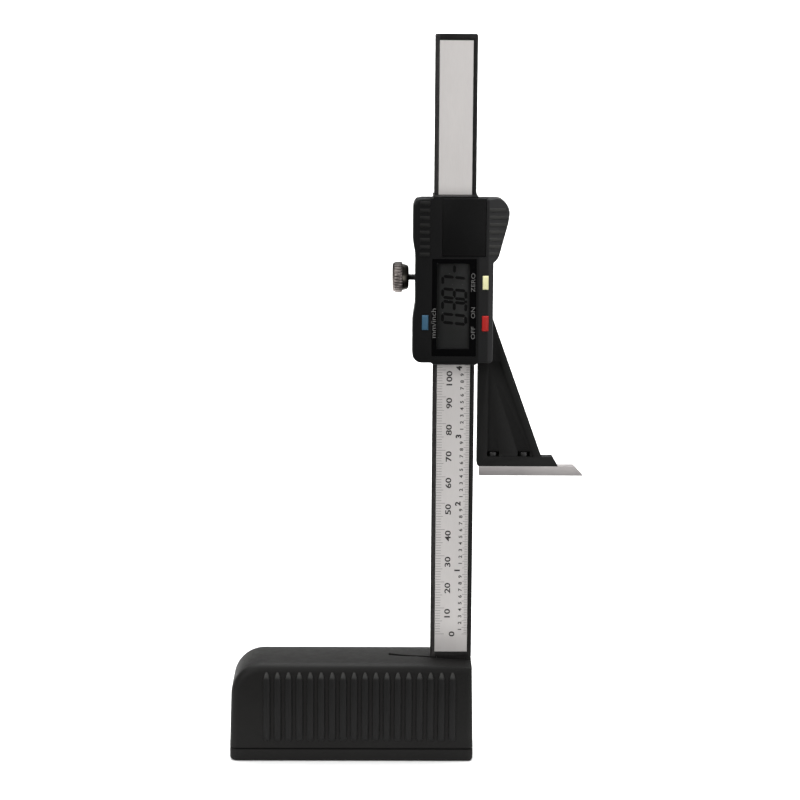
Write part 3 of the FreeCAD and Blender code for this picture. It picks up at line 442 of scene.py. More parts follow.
    def twin(self, name: str) -> "Piece":
        """A copy with its own mesh.

        Args:
            name: the copy's name.

        Returns:
            The copy.
        """
        obj = self.obj.copy()
        obj.data = self.obj.data.copy()
        obj.name = obj.data.name = name
        bpy.context.scene.collection.objects.link(obj)
        return Piece(obj)

    def shift(self, by: Spot) -> "Piece":
        """Move the mesh."""
        self.obj.data.transform(Matrix.Translation(Vector(by) * MM))
        return self

    def turn(self, way: Way, degrees: float, about: Spot) -> "Piece":
        """Turn the mesh about an axis through a point.

        Args:
            way: the direction of the axis.
            degrees: how far.
            about: a point on the axis.

        Returns:
            This piece.
        """
        place = Matrix.Translation(Vector(about) * MM)
        turning = Matrix.Rotation(math.radians(degrees), 4, way.name)
        self.obj.data.transform(place @ turning @ place.inverted())
        return self

    def dress(self, finish: "Finish", body: str, slot: str, *nodes: str,
              crease: float = 32.0) -> "Piece":
        """Shade the finished piece and hand it to its body.

        Args:
            finish: what its surface is.
            body: the CAD body that it rides on.
            slot: the record's material slot; it is not used.
            nodes: the CAD nodes that it stands for.
            crease: the angle past which an edge stays crisp, in degrees.

        Returns:
            This piece.
        """
        self.take()
        bpy.ops.object.shade_smooth_by_angle(angle=math.radians(crease))
        self.obj.data.materials.clear()
        self.obj.data.materials.append(finish.material())
        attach(self.obj, body)
        if nodes:
            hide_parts(*nodes)
        LOG.info("%s rides on %s, %d faces", self.obj.name, body, len(self.obj.data.polygons))
        return self


class Wire:
    """A node's output that Python's operators work on."""

    def __init__(self, recipe: "Recipe", socket: bpy.types.NodeSocket) -> None:
        """Wrap a socket of a recipe."""
        self.recipe = recipe
        self.socket = socket

    def math(self, operation: str, *others: "Wire | float") -> "Wire":
        """One Math node on this value and others."""
        inputs = dict(enumerate((self, *others)))
        return self.recipe.add("ShaderNodeMath", {"operation": operation}, inputs)

    def __add__(self, other: "Wire | float") -> "Wire":
        """Sum."""
        return self.math("ADD", other)

    def __sub__(self, other: "Wire | float") -> "Wire":
        """Difference."""
        return self.math("SUBTRACT", other)

    def __rsub__(self, other: float) -> "Wire":
        """Difference from a number."""
        return (self * -1.0) + other

    def __mul__(self, other: "Wire | float") -> "Wire":
        """Product."""
        return self.math("MULTIPLY", other)

    def __pow__(self, other: float) -> "Wire":
        """Power."""
        return self.math("POWER", other)

    def over(self, limit: float) -> "Wire":
        """One where the value is over a limit, else zero."""
        return self.math("GREATER_THAN", limit)

    __radd__ = __add__
    __rmul__ = __mul__


class Recipe:
    """A material being mixed: its nodes, its surface shader and one way to add a node."""

    def __init__(self, name: str) -> None:
        """Start with a bare surface shader.

        Args:
            name: the material's name.
        """
        self.material = bpy.data.materials.new(name)
        self.material.use_nodes = True
        self.tree = self.material.node_tree
        self.tree.nodes.clear()
        output = self.tree.nodes.new("ShaderNodeOutputMaterial")
        self.surface = self.tree.nodes.new("ShaderNodeBsdfPrincipled")
        self.tree.links.new(self.surface.outputs[0], output.inputs["Surface"])

    def feed(self, socket: bpy.types.NodeSocket, value: object) -> None:
        """Link or set one input.

        Args:
            socket: the input.
            value: a wire, a colour or a plain value.
        """
        if isinstance(value, Wire):
            self.tree.links.new(value.socket, socket)
        elif isinstance(value, tuple) and len(value) == 3 and socket.type == "RGBA":
            socket.default_value = (*value, 1.0)
        else:
            socket.default_value = value

    def add(self, kind: str, settings: dict | None = None, inputs: dict | None = None,
            output: int | str = 0) -> Wire:
        """Add any node.

        Args:
            kind: the node's type.
            settings: what is set first, such as an operation or a ramp's stops.
            inputs: values or wires by socket name or number.
            output: which output is handed back.

        Returns:
            The chosen output.
        """
        node = self.tree.nodes.new(kind)
        for key, value in (settings or {}).items():
            if key == "stops":
                ramp = node.color_ramp.elements
                while len(ramp) < len(value):
                    ramp.new(0.5)
                for stop, (place, tone) in zip(ramp, value):
                    stop.position, stop.color = place, (*tone, 1.0)
            else:
                setattr(node, key, value)
        for key, value in (inputs or {}).items():
            self.feed(node.inputs[key], value)
        return Wire(self, node.outputs[output])

    def set(self, **values: object) -> None:
        """Feed the surface shader; underscores stand for the spaces of its socket names."""
        for key, value in values.items():
            self.feed(self.surface.inputs[key.replace("_", " ")], value)

    def place(self, stretch: Spot = (1.0, 1.0, 1.0)) -> Wire:
        """Object coordinates; the stretch draws a pattern closer along each direction."""
        spot = self.add("ShaderNodeTexCoord", output="Object")
        return self.add("ShaderNodeMapping", None, {"Vector": spot, "Scale": stretch})

    def along(self, way: Way) -> Wire:
        """The Object coordinate along a direction, in millimetres."""
        return self.add("ShaderNodeSeparateXYZ", None, {0: self.place()},
                        way.value) * PER_METRE

    def step(self, value: Wire, level: float, width: float) -> Wire:
        """A soft step from nought to one where a value passes a level."""
        return self.add("ShaderNodeMath", {"operation": "MULTIPLY_ADD", "use_clamp": True},
                        {0: value, 1: 1.0 / width, 2: -level / width})

    def noise(self, where: Wire, grain: float, detail: float = 2.0,
              roughness: float = 0.5) -> Wire:
        """Even noise over given coordinates.

        Args:
            where: the coordinates.
            grain: about how large its grains are, in millimetres.
            detail: how many finer layers there are.
            roughness: how strong they are.

        Returns:
            The noise, from nought to one.
        """
        return self.add("ShaderNodeTexNoise", None, {
            "Vector": where, "Scale": PER_METRE / grain, "Detail": detail,
            "Roughness": roughness})

    def blend(self, mask: Wire, first: Tone | Wire, second: Tone | Wire) -> Wire:
        """Go from one colour to another by a mask."""
        return self.add("ShaderNodeMix", {"data_type": "RGBA"},
                        {0: mask, 6: first, 7: second}, 2)

    def tint(self, mask: Wire, colour: Wire, factor: float) -> Wire:
        """Multiply a colour by a factor where a mask says so."""
        return self.add("ShaderNodeMix", {"data_type": "RGBA", "blend_type": "MULTIPLY"},
                        {0: mask, 6: colour, 7: (factor, factor, factor)}, 2)

    def relief(self, height: Wire, depth: float) -> Wire:
        """A Bump node of a depth in millimetres."""
        return self.add("ShaderNodeBump", None, {"Height": height, "Distance": depth * MM},
                        "Normal")


def shade(tone: Tone, by: float) -> Tone:
    """A colour made lighter or darker by a factor."""
    return tuple(min(1.0, part * by) for part in tone)


@dataclass(frozen=True)
class Area:
    """A part of a surface made lighter or darker by a factor; at the finishes that say so, it is
    painted light or shade.

    Attributes:
        way: the direction along which the area starts.
        level: where it starts.
        width: how far it takes to come in; below nought it lies the other way.
        factor: how much lighter it is.
    """

    way: Way
    level: float
    width: float
    factor: float


@dataclass(frozen=True)
class Finish:
    """What a surface is; each kind of finish mixes its own recipe once.

    Attributes:
        name: the finish's name.
        tone: its colour.
        areas: parts of the surface that are lighter or darker.
    """

    name: str
    tone: Tone
    areas: tuple[Area, ...] = ()

    def material(self) -> bpy.types.Material:
        """The material, mixed on first use.

        Returns:
            The material.
        """
        name = f"{self.name}_finish"
        found = bpy.data.materials.get(name)
        if found is None:
            recipe = Recipe(name)
            self.mix(recipe)
            found = recipe.material
        return found

    def mix(self, recipe: Recipe) -> None:
        """Fill in the recipe."""
        raise NotImplementedError

    def vary(self, recipe: Recipe, mask: Wire, low: float, high: float) -> Wire:
        """The tone between two factors by a mask, with the areas laid over it.

        Args:
            recipe: the recipe being mixed.
            mask: goes from one factor to the other.
            low: the factor where the mask is nought.
            high: the factor where it is one.

        Returns:
            The colour.
        """
        colour = recipe.blend(mask, shade(self.tone, low), shade(self.tone, high))
        for area in self.areas:
            past = recipe.step(recipe.along(area.way), area.level, area.width)
            colour = recipe.tint(past, colour, area.factor)
        return colour


@dataclass(frozen=True)
class MouldedPlastic(Finish):
    """Injection-moulded plastic with a fine spark-eroded texture."""

    roughness: float = 0.5
    grain: float = 0.28
    depth: float = 0.02
    gloss: float = 0.12
    flow: float = 0.22

    def mix(self, recipe: Recipe) -> None:
        """Fine pits, faint flow clouds and a slightly uneven gloss.

        Args:
            recipe: the material being mixed.
        """
        here = recipe.place()
        pits = recipe.noise(here, self.grain, 3.0, 0.6)
        cloud = recipe.noise(here, 14.0, 3.0)
        scuff = recipe.noise(recipe.place((1.0, 1.0, 5.0)), 3.0, 4.0)
        recipe.set(
            Base_Color=self.vary(recipe, cloud * 0.7 + pits * 0.3, 1.0 - self.flow,
                                 1.0 + self.flow),
            Roughness=(pits - 0.5) * 0.16 + (scuff - 0.5) * 0.14 + self.roughness,
            Normal=recipe.relief(pits, self.depth),
            Specular_IOR_Level=self.gloss)


@dataclass(frozen=True)
class FibreComposite(Finish):
    """Pressed black composite: short fibres show as faint streaks under a satin skin."""

    roughness: float = 0.38

    def mix(self, recipe: Recipe) -> None:
        """Crossing streaks in tone and gloss.

        Args:
            recipe: the material being mixed.
        """
        rising = recipe.noise(recipe.place((6.0, 6.0, 1.0)), 2.2, 4.0, 0.6)
        lying = recipe.noise(recipe.place((1.0, 5.0, 7.0)), 1.8, 3.0, 0.55)
        fleck = (rising * 0.6 + lying * 0.4).math("MULTIPLY_ADD", 3.2, -1.1)
        fleck = fleck.math("MINIMUM", 1.0).math("MAXIMUM", 0.0)
        recipe.set(
            Base_Color=self.vary(recipe, fleck, 0.6, 1.9),
            Roughness=self.roughness - (fleck - 0.5) * 0.16,
            Normal=recipe.relief(rising, 0.012),
            Specular_IOR_Level=0.12)


@dataclass(frozen=True)
class GrainedMetal(Finish):
    """Metal ground or drawn along one direction."""

    roughness: float = 0.32
    along: Way = Way.X
    line: float = 0.12
    depth: float = 0.006

    def mix(self, recipe: Recipe) -> None:
        """Long fine scratches, a few deeper ones and faint stains.

        Args:
            recipe: the material being mixed.
        """
        stretch = [1.0, 1.0, 1.0]
        stretch[self.along.value] = 0.03
        lines = recipe.noise(recipe.place(tuple(stretch)), self.line, 3.0, 0.6)
        deep = recipe.noise(recipe.place(tuple(stretch)), self.line * 4.0, 1.0)
        stain = recipe.noise(recipe.place(), 6.0, 3.0)
        recipe.set(
            Base_Color=self.vary(recipe, lines * 0.6 + stain * 0.4, 0.78, 1.2),
            Roughness=(lines - 0.5) * 0.2 + (stain - 0.5) * 0.12 + self.roughness,
            Normal=recipe.relief(lines * 0.7 + deep * 0.3, self.depth),
            Metallic=1.0)


@dataclass(frozen=True)
class TurnedMetal(Finish):
    """Metal turned on a lathe about an axis along X."""

    roughness: float = 0.28
    axis: Flat = (0.0, 180.0)

    def mix(self, recipe: Recipe) -> None:
        """Tool marks round the axis, on the ends and along the side alike.

        Args:
            recipe: the material being mixed.
        """
        y, z = recipe.along(Way.Y) - self.axis[0], recipe.along(Way.Z) - self.axis[1]
        reach = (y * y + z * z) ** 0.5
        spot = recipe.add("ShaderNodeCombineXYZ", None, {0: recipe.along(Way.X), 1: reach})
        marks = recipe.noise(spot, 160.0, 2.0, 0.6)
        tarnish = recipe.noise(recipe.place(), 2.6, 3.0)
        recipe.set(
            Base_Color=self.vary(recipe, tarnish, 0.72, 1.25),
            Roughness=(marks - 0.5) * 0.16 + (tarnish - 0.5) * 0.16 + self.roughness,
            Normal=recipe.relief(marks, 0.01),
            Metallic=1.0)


@dataclass(frozen=True)
class SilverFilm(Finish):
    """Satin silver film under the scale's printing."""

    def mix(self, recipe: Recipe) -> None:
        """A fine metallic grain with faint cloudy handling marks.

        Args:
            recipe: the material being mixed.
        """
        grain = recipe.noise(recipe.place((1.0, 1.0, 0.12)), 0.3, 3.0, 0.6)
        cloud = recipe.noise(recipe.place((1.0, 1.0, 0.35)), 9.0, 2.0)
        recipe.set(
            Base_Color=self.vary(recipe, grain * 0.45 + cloud * 0.55, 0.88, 1.1),
            Roughness=(grain - 0.5) * 0.14 + 0.42,
            Normal=recipe.relief(grain, 0.002),
            Metallic=0.35)


@dataclass(frozen=True)
class Paint(Finish):
    """Printed ink or a thin painted mark, slightly uneven in cover."""

    roughness: float = 0.55
    gloss: float = 0.15

    def mix(self, recipe: Recipe) -> None:
        """Small patches of thinner cover.

        Args:
            recipe: the material being mixed.
        """
        cover = recipe.noise(recipe.place(), 0.35, 3.0)
        recipe.set(
            Base_Color=self.vary(recipe, cover, 0.8, 1.2),
            Roughness=(cover - 0.5) * 0.2 + self.roughness,
            Specular_IOR_Level=self.gloss)


@dataclass(frozen=True)
class PolishedPlastic(Finish):
    """Smooth glossy plastic with a trace of swirl."""

    roughness: float = 0.16
    gloss: float = 0.5
    alpha: float = 1.0

    def mix(self, recipe: Recipe) -> None:
        """A near-even colour and a faintly uneven gloss.

        Args:
            recipe: the material being mixed.
        """
        swirl = recipe.noise(recipe.place((1.0, 1.0, 2.0)), 2.4, 4.0)
        recipe.set(
            Base_Color=self.vary(recipe, swirl, 0.92, 1.08),
            Roughness=(swirl - 0.5) * 0.08 + self.roughness,
            Normal=recipe.relief(swirl, 0.004),
            Specular_IOR_Level=self.gloss)
        if self.alpha < 1.0:
            recipe.set(Alpha=self.alpha)


@dataclass(frozen=True)
class DisplayCell(Finish):
    """The liquid-crystal cell: grey glass over a finely speckled reflector."""

    def mix(self, recipe: Recipe) -> None:
        """Speckle of the reflector foil and a slight tint change over the glass.

        Args:
            recipe: the material being mixed.
        """
        speckle = recipe.noise(recipe.place(), 0.16, 1.0)
        tint = recipe.noise(recipe.place(), 18.0, 1.0)
        recipe.set(
            Base_Color=self.vary(recipe, speckle * 0.5 + tint * 0.5, 0.8, 1.2),
            Roughness=(speckle - 0.5) * 0.1 + 0.35,
            Specular_IOR_Level=0.12)


@dataclass(frozen=True)
class BoardLaminate(Finish):
    """Circuit laminate: copper tracks show through the lacquer."""

    def mix(self, recipe: Recipe) -> None:
        """Crossing bands stand for the tracks.

        Args:
            recipe: the material being mixed.
        """
        waves = [recipe.add("ShaderNodeTexWave", {"bands_direction": way}, {
            "Vector": recipe.place(), "Scale": 210.0, "Distortion": 1.5}, "Fac")
            for way in ("X", "Z")]
        tracks = waves[0].over(0.7) * 0.6 + waves[1].over(0.75) * 0.4
        recipe.set(
            Base_Color=recipe.blend(tracks, self.tone, shade(self.tone, 1.8)),
            Roughness=0.42 - tracks * 0.1, Normal=recipe.relief(tracks, 0.02))


@dataclass(frozen=True)
class CastMetal(Finish):
    """Rough cast metal."""

    metallic: float = 0.8

    def mix(self, recipe: Recipe) -> None:
        """Coarse skin with darker hollows.

        Args:
            recipe: the material being mixed.
        """
        skin = recipe.noise(recipe.place(), 0.9, 5.0, 0.65)
        recipe.set(
            Base_Color=self.vary(recipe, skin, 0.55, 1.35),
            Roughness=(skin - 0.5) * 0.3 + 0.62, Normal=recipe.relief(skin, 0.08),
            Metallic=self.metallic)


# Painted light and shade: darker towards the front, lighter towards the back and the rear of the
# top, darker towards the right end, and a painted highlight on the right end.
BASE_PLASTIC_PAINTED_LIGHT = MouldedPlastic(
    "base_plastic", (0.0084, 0.0081, 0.0076), roughness=0.56, areas=(
        Area(Way.Y, -2.0, -9.0, 0.8), Area(Way.Y, -3.0, 15.0, 1.5),
        Area(Way.X, 15.0, 28.0, 0.85), Area(Way.X, 43.0, 0.8, 1.4)))
# Painted highlight: the ribs' upper ends, from z 31.7 up, are made five times lighter.
RIB_PLASTIC_PAINTED_HIGHLIGHT = MouldedPlastic(
    "rib_plastic", (0.0064, 0.0064, 0.0062), roughness=0.5, gloss=0.14,
    areas=(Area(Way.Z, 31.7, 1.0, 5.0),))
# Painted light: the cover is lighter towards its right side and lighter again over the thumb
# pad, as if lit from the right.
SLIDER_PLASTIC_PAINTED_LIGHT = MouldedPlastic(
    "slider_plastic", (0.0055, 0.0055, 0.0056), roughness=0.46, grain=0.24, gloss=0.09, areas=(
        Area(Way.X, 45.3, 0.5, 2.4), Area(Way.X, 48.7, 0.5, 2.1)))
# Painted highlight: the finger ridges are a lighter copy of the slider plastic, and lighter
# again on the thumb pad.
GRIP_PLASTIC_PAINTED_HIGHLIGHT = MouldedPlastic(
    "grip_plastic", (0.0105, 0.0105, 0.0100), roughness=0.46, gloss=0.12, areas=(
        Area(Way.X, 48.7, 0.5, 3.0),))
DOOR_PLASTIC = MouldedPlastic("door_plastic", (0.0036, 0.0036, 0.0036), roughness=0.46,
                              grain=0.24, gloss=0.08)
ARM_PLASTIC = MouldedPlastic("arm_plastic", (0.0078, 0.0077, 0.0074), roughness=0.5,
                             gloss=0.14)
# Painted highlight along the left edge of the beam and its stop.
COMPOSITE_PAINTED_HIGHLIGHT = FibreComposite("beam_composite", (0.0090, 0.0084, 0.0082),
                           areas=(Area(Way.X, 31.2, -0.3, 2.4),))
# Painted shade: the film darkens towards its foot, below z 50, where the base meets it.
FILM_PAINTED_SHADE = SilverFilm("silver_film", (0.63, 0.605, 0.59), areas=(Area(Way.Z, 50.0, -11.0, 0.74),))
SCALE_INK = Paint("scale_ink", (0.075, 0.068, 0.066))
NUMBER_INK = Paint("number_ink", (0.050, 0.046, 0.045))
LABEL_INK = Paint("label_ink", (0.105, 0.105, 0.102))
SEGMENT_INK = Paint("segment_ink", (0.0016, 0.0016, 0.0016), gloss=0.04)
WINDOW_MASK = PolishedPlastic("window_mask", (0.0018, 0.0018, 0.0020), roughness=0.16,
                              gloss=0.08)
WINDOW_CLEAR = PolishedPlastic("window_clear", (0.02, 0.02, 0.02), roughness=0.1, gloss=0.12,
                               alpha=0.06)
# Painted light and shade: the cell is lighter towards its foot and painted darker towards its
# top.
CELL_GLASS_PAINTED_LIGHT = DisplayCell("cell_glass", (0.0215, 0.0220, 0.0215),
                         areas=(Area(Way.Z, 162.0, -10.0, 1.2), Area(Way.Z, 172.0, 10.0, 0.75)))
ZERO_CAP = PolishedPlastic("zero_cap", (0.82, 0.80, 0.46), roughness=0.36, gloss=0.3)
POWER_CAP = PolishedPlastic("power_cap", (0.38, 0.016, 0.014), roughness=0.36, gloss=0.2)
UNIT_CAP = PolishedPlastic("unit_cap", (0.040, 0.105, 0.170), roughness=0.36, gloss=0.2)
# Darker towards the blade's tip, from x 60 on.
BLADE_STEEL = GrainedMetal("blade_steel", (0.48, 0.455, 0.45), roughness=0.52,
                           areas=(Area(Way.X, 60.0, 25.0, 0.74),))
# Painted reflection: the head is darker towards its top and lighter towards its underside, as if
# it mirrored a dark room above and the pale floor below.
KNOB_METAL_PAINTED_REFLECTION = TurnedMetal("knob_metal", (0.19, 0.168, 0.158), roughness=0.42, areas=(
    Area(Way.Z, 179.5, 4.0, 0.5), Area(Way.Z, 183.6, 1.4, 0.35), Area(Way.Z, 178.5, -3.5, 1.5)))
# Painted shade: the collar behind the head is a darker copy of the knob's metal, darker still
# towards its top.
KNOB_SHADE = TurnedMetal("knob_collar_metal", (0.085, 0.078, 0.066), roughness=0.34, areas=(
    Area(Way.Z, 181.0, 3.0, 0.5),))
DARK_STEEL = GrainedMetal("dark_steel", (0.045, 0.044, 0.044), roughness=0.45, line=0.2)
PLAIN_STEEL = GrainedMetal("plain_steel", (0.52, 0.52, 0.53), roughness=0.3, line=0.2)
NICKEL = GrainedMetal("nickel_plate", (0.30, 0.295, 0.28), roughness=0.46, line=0.2)
BRASS = GrainedMetal("brass", (0.70, 0.50, 0.24), roughness=0.3, along=Way.Y)
LAMINATE = BoardLaminate("board_laminate", (0.02, 0.13, 0.055))
IRON = CastMetal("cast_iron", (0.14, 0.135, 0.13))
RUBBER = MouldedPlastic("contact_rubber", (0.03, 0.03, 0.03), roughness=0.75, grain=0.5)


@dataclass
class Lettering:
    """Words and numbers as thin meshes on the front; each sign is made once and copied."""

    finish: Finish
    body: str
    slot: str
    stretch: float = 1.0
    weight: float = 0.0
    anchor: Anchor = Anchor.MIDDLE
    thickness: float = 0.03
    signs: dict[tuple[str, float], Piece] = field(default_factory=dict)

    def sign(self, words: str, size: float) -> Piece:
        """One sign with its anchor on the origin.

        Args:
            words: what it reads.
            size: the font size in millimetres.

        Returns:
            The master that copies are made of.
        """
        key = (words, size)
        if key not in self.signs:
            Piece.clear()
            bpy.ops.object.text_add()
            text = bpy.context.active_object
            text.data.body, text.data.size = words, size * MM
            text.data.align_x, text.data.align_y = self.anchor.value, "CENTER"
            text.data.extrude, text.data.offset = self.thickness * MM / 2, self.weight * MM
            text.data.resolution_u = 3
            bpy.ops.object.convert(target="MESH")
            text = bpy.context.active_object
            text.matrix_world = CLIMBING @ Matrix.Diagonal((self.stretch, 1.0, 1.0, 1.0))
            self.signs[key] = Piece.settle(f"sign_{len(self.signs)}")
        return self.signs[key]

    def write(self, name: str, entries: Iterable[tuple[str, float, float, float]],
              y: float) -> Piece:
        """Write several signs as one piece.

        Args:
            name: the piece's name.
            entries: words, size, x and z of each sign's anchor.
            y: the level of the surface they lie on.

        Returns:
            The finished piece.
        """
        copies = []
        for words, size, x, z in entries:
            copy = self.sign(words, size).twin(f"{name}_part")
            copies.append(copy.shift((x, y - self.thickness / 2, z)))
        whole = copies[0].gather(name, copies[1:])
        for master in self.signs.values():
            master.discard()
        self.signs.clear()
        return whole.dress(self.finish, self.body, self.slot)


@dataclass
class Base:
    """Moulded base: ribbed housing, bottom plate and the screws seen from outside."""

    length: float = 90.4
    depth: float = 26.5
    height: float = 37.4
    rim: float = 5.25
    lean: float = 0.56
    nose: float = 12.0
    front_edge: float = 3.0
    rear_edge: float = 1.7
    end_edge: float = 1.8
    edge_turns: tuple[float, ...] = (90, 72, 56, 42, 28, 14, 0)
    stations: tuple[float, ...] = (-7.0, -3.5, 0.0, 4.0, 8.0)
    nose_steps: int = 18
    corner: Flat = (0.6, 0.18)
    crown: float = 0.35
    crown_reach: float = 11.0
    plate_high: float = 4.65
    plate_edges: Flat = (1.2, 0.2)
    groove: float = 0.8
    step_low: float = 4.0
    ramp_start: float = 24.0
    ramp_drop: float = 1.3
    ramp_front: float = -2.05
    crease_depth: float = 1.1
    foot_line: Flat = (29.0, 46.5)
    foot_depth: float = 2.2
    foot_width: float = 0.55
    beam_face: float = -2.0
    socket_half: Flat = (5.3, 2.1)
    socket_low: float = 12.3
    well_radius: float = 3.1
    well_depth: float = 2.6
    rib_first: float = -31.4
    rib_pitch: float = 4.05
    rib_count: int = 18
    rear_rib_count: int = 15
    rib_width: float = 2.7
    rib_proud: float = 0.75
    rib_low: float = 7.8
    rib_high: float = 34.3
    rib_root: float = -0.4
    screw_levels: Flat = (18.0, 29.0)
    screw_sunk: float = 0.6
    foot_spots: Flat = (-39.4, 39.4)

    def build(self) -> None:
        """Make every visible part of the base."""
        self.make_housing()
        self.make_plate()
        self.make_screws()

    def inset(self, y: float, radius: float) -> float:
        """How far a rounded edge has drawn in at a depth."""
        into = max(0.0, abs(y) - (self.depth / 2 - radius))
        return radius - math.sqrt(max(0.0, radius ** 2 - into ** 2))

    def ring(self, y: float) -> list[Flat]:
        """The housing's outline at one depth: rounded nose on the left, square on the right.

        Args:
            y: the depth.

        Returns:
            Its corners, from the lower left by the lower right and over the top.
        """
        half, low, top = self.length / 2, self.rim, self.height
        side = self.inset(y, self.front_edge if y < 0 else self.rear_edge)
        drop = side + self.crown * (y / self.crown_reach) ** 2
        right = half - self.inset(y, self.end_edge)
        bend, middle = self.corner
        corners = [(-half + side, low), (right, low), (right - self.lean, top - drop - bend),
                   (right - self.lean - middle, top - drop - middle),
                   (right - self.lean - bend, top - drop)]
        centre = (-half + self.lean + self.nose, top - self.nose)
        for step in range(self.nose_steps + 1):
            turn = math.radians(90.0 + 90.0 * step / self.nose_steps)
            reach = self.nose - drop + (drop - side) * step / self.nose_steps
            corners.append((centre[0] + reach * math.cos(turn),
                            centre[1] + reach * math.sin(turn)))
        return corners

    def rib(self, side: int) -> Piece:
        """One grip rib that narrows and sinks at its ends.

        Args:
            side: -1 for the front of the base, +1 for its back.

        Returns:
            The rib at the left end of its row.
        """
        rings = []
        for level, wide, proud in (
                (self.rib_low, 0.35, 0.0), (self.rib_low + 0.5, 0.8, 0.6),
                (self.rib_low + 1.4, 1.0, 1.0), (self.rib_high - 3.1, 1.0, 1.0),
                (self.rib_high - 1.9, 0.72, 0.92), (self.rib_high - 0.8, 0.5, 0.6),
                (self.rib_high, 0.25, 0.0)):
            half, out = self.rib_width / 2 * wide, self.rib_proud * proud
            flank = [(half, self.rib_root), (half, 0.0), (half * 0.96, out * 0.45),
                     (half * 0.84, out * 0.8), (half * 0.6, out)]
            flank += [(-x, y) for x, y in flank[::-1]]
            rings.append((level, [(self.rib_first + x, side * (self.depth / 2 + y))
                                  for x, y in flank]))
        return Piece.loft("rib", rings, Way.Z)

    def make_housing(self) -> None:
        """Crowned shell with its rounded nose, the ramp and crease, ribs, wells and socket."""
        face = self.depth / 2
        turns = [math.sin(math.radians(a)) - 1.0 for a in self.edge_turns]
        levels = [-face - self.front_edge * a for a in turns] + [*self.stations] + [
            face + self.rear_edge * a for a in turns[::-1]]
        body = Piece.loft("housing", [(y, self.ring(y)) for y in levels], Way.Y)
        above = self.height + PAST
        left, right = self.foot_line
        body.cut(self.ramp(), self.crease(), Piece.block(
            "foot_line", (left, self.ramp_front - self.foot_width,
                          self.height - self.foot_depth), (right, self.beam_face, above)))
        front = self.rib(-1).repeat(self.rib_count, (self.rib_pitch, 0, 0))
        rear = self.rib(1).repeat(self.rear_rib_count, (self.rib_pitch, 0, 0))
        front.gather("grip_ribs", [rear]).dress(RIB_PLASTIC_PAINTED_HIGHLIGHT, "base", "base_moulding")
        for level in self.screw_levels:
            body.cut(Piece.rod("well", Way.Y, (BEAM_X, level), self.well_radius,
                               face - self.well_depth, face + PAST))
        wide, deep = self.socket_half
        body.cut(Piece.block("socket", (BEAM_X - wide, -deep, self.socket_low),
                             (BEAM_X + wide, deep, above)))
        body.dress(BASE_PLASTIC_PAINTED_LIGHT, "base", "base_moulding", "base_housing")

    def ramp(self) -> Piece:
        """Cutter that lowers the top in front of the beam, more towards the right end.

        Returns:
            The cutter.
        """
        length = self.length / 2 + PAST - self.ramp_start
        fall = self.ramp_drop * length / (length - PAST)
        left, right, rise = self.ramp_start, self.ramp_start + length, 2 * PAST
        rings = []
        for y in (-self.depth / 2 - PAST, -11.0, -8.0, -5.0, self.ramp_front):
            top = self.height - self.crown * (y / self.crown_reach) ** 2
            rings.append((y, [(left, top), (right, top - fall), (right, top + rise),
                              (left, top + rise)]))
        return Piece.loft("ramp", rings, Way.Y)

    def crease(self) -> Piece:
        """Cutter for the moulded line that runs up to the beam's foot.

        Returns:
            The cutter.
        """
        band = [(13.8, 2.1), (18.1, 0.2), (22.0, -0.8), (29.4, -1.9), (29.4, -2.6),
                (22.0, -2.3), (18.1, -1.8), (13.8, -0.5)]
        return Piece.prism("crease", band, Way.Z, self.height - self.crease_depth,
                           self.height + PAST)

    def make_plate(self) -> None:
        """Bottom plate whose step leaves the dark parting groove."""
        half, face = self.length / 2, self.depth / 2
        plate = Piece.block("bottom_plate", (-half, -face, 0), (half, face, self.plate_high))
        for spot, edge in (((-half, -face), self.front_edge), ((-half, face), self.rear_edge),
                           ((half, -face), self.end_edge), ((half, face), self.end_edge)):
            plate.round_edges(runs_at(Way.Z, [spot]), edge, 6)
        under, over = self.plate_edges
        plate.round_edges(on_level(Way.Z, 0.0), under, 4)
        plate.round_edges(on_level(Way.Z, self.plate_high), over, 2)
        plate.fuse(Piece.block(
            "step", (-half + self.groove, -face + self.groove, self.step_low),
            (half - self.groove, face - self.groove, self.rim)))
        for x in self.foot_spots:
            plate.cut(Piece.rod("seat", Way.Z, (x, 0.0), radius=2.55, low=-0.01, high=1.25,
                                sides=40, far_radius=1.3),
                      Piece.rod("hole", Way.Z, (x, 0.0), radius=1.38, low=-1.0, high=6.0,
                                sides=32))
        plate.dress(BASE_PLASTIC_PAINTED_LIGHT, "base", "base_moulding", "base_plate")

    def make_screws(self) -> None:
        """Heads of the foot screws below and the beam's screws behind."""
        feet = Piece.from_node("foot_screws", "base_screws")
        feet.recess(Way.Z, [(x, 0.0) for x in self.foot_spots], face=0.0, sign=-1, size=3.0,
                    depth=0.9)
        feet.dress(PLAIN_STEEL, "base", "plain_steel", "base_screws")
        screws = Piece.from_node("beam_bolts", "beam_screws").ease(0.18, 2, 50)
        screws.recess(Way.Y, [(BEAM_X, level) for level in self.screw_levels],
                      face=self.depth / 2 - self.screw_sunk, sign=1, size=3.2, depth=1.2)
        screws.dress(DARK_STEEL, "base", "dark_screw", "beam_screws")


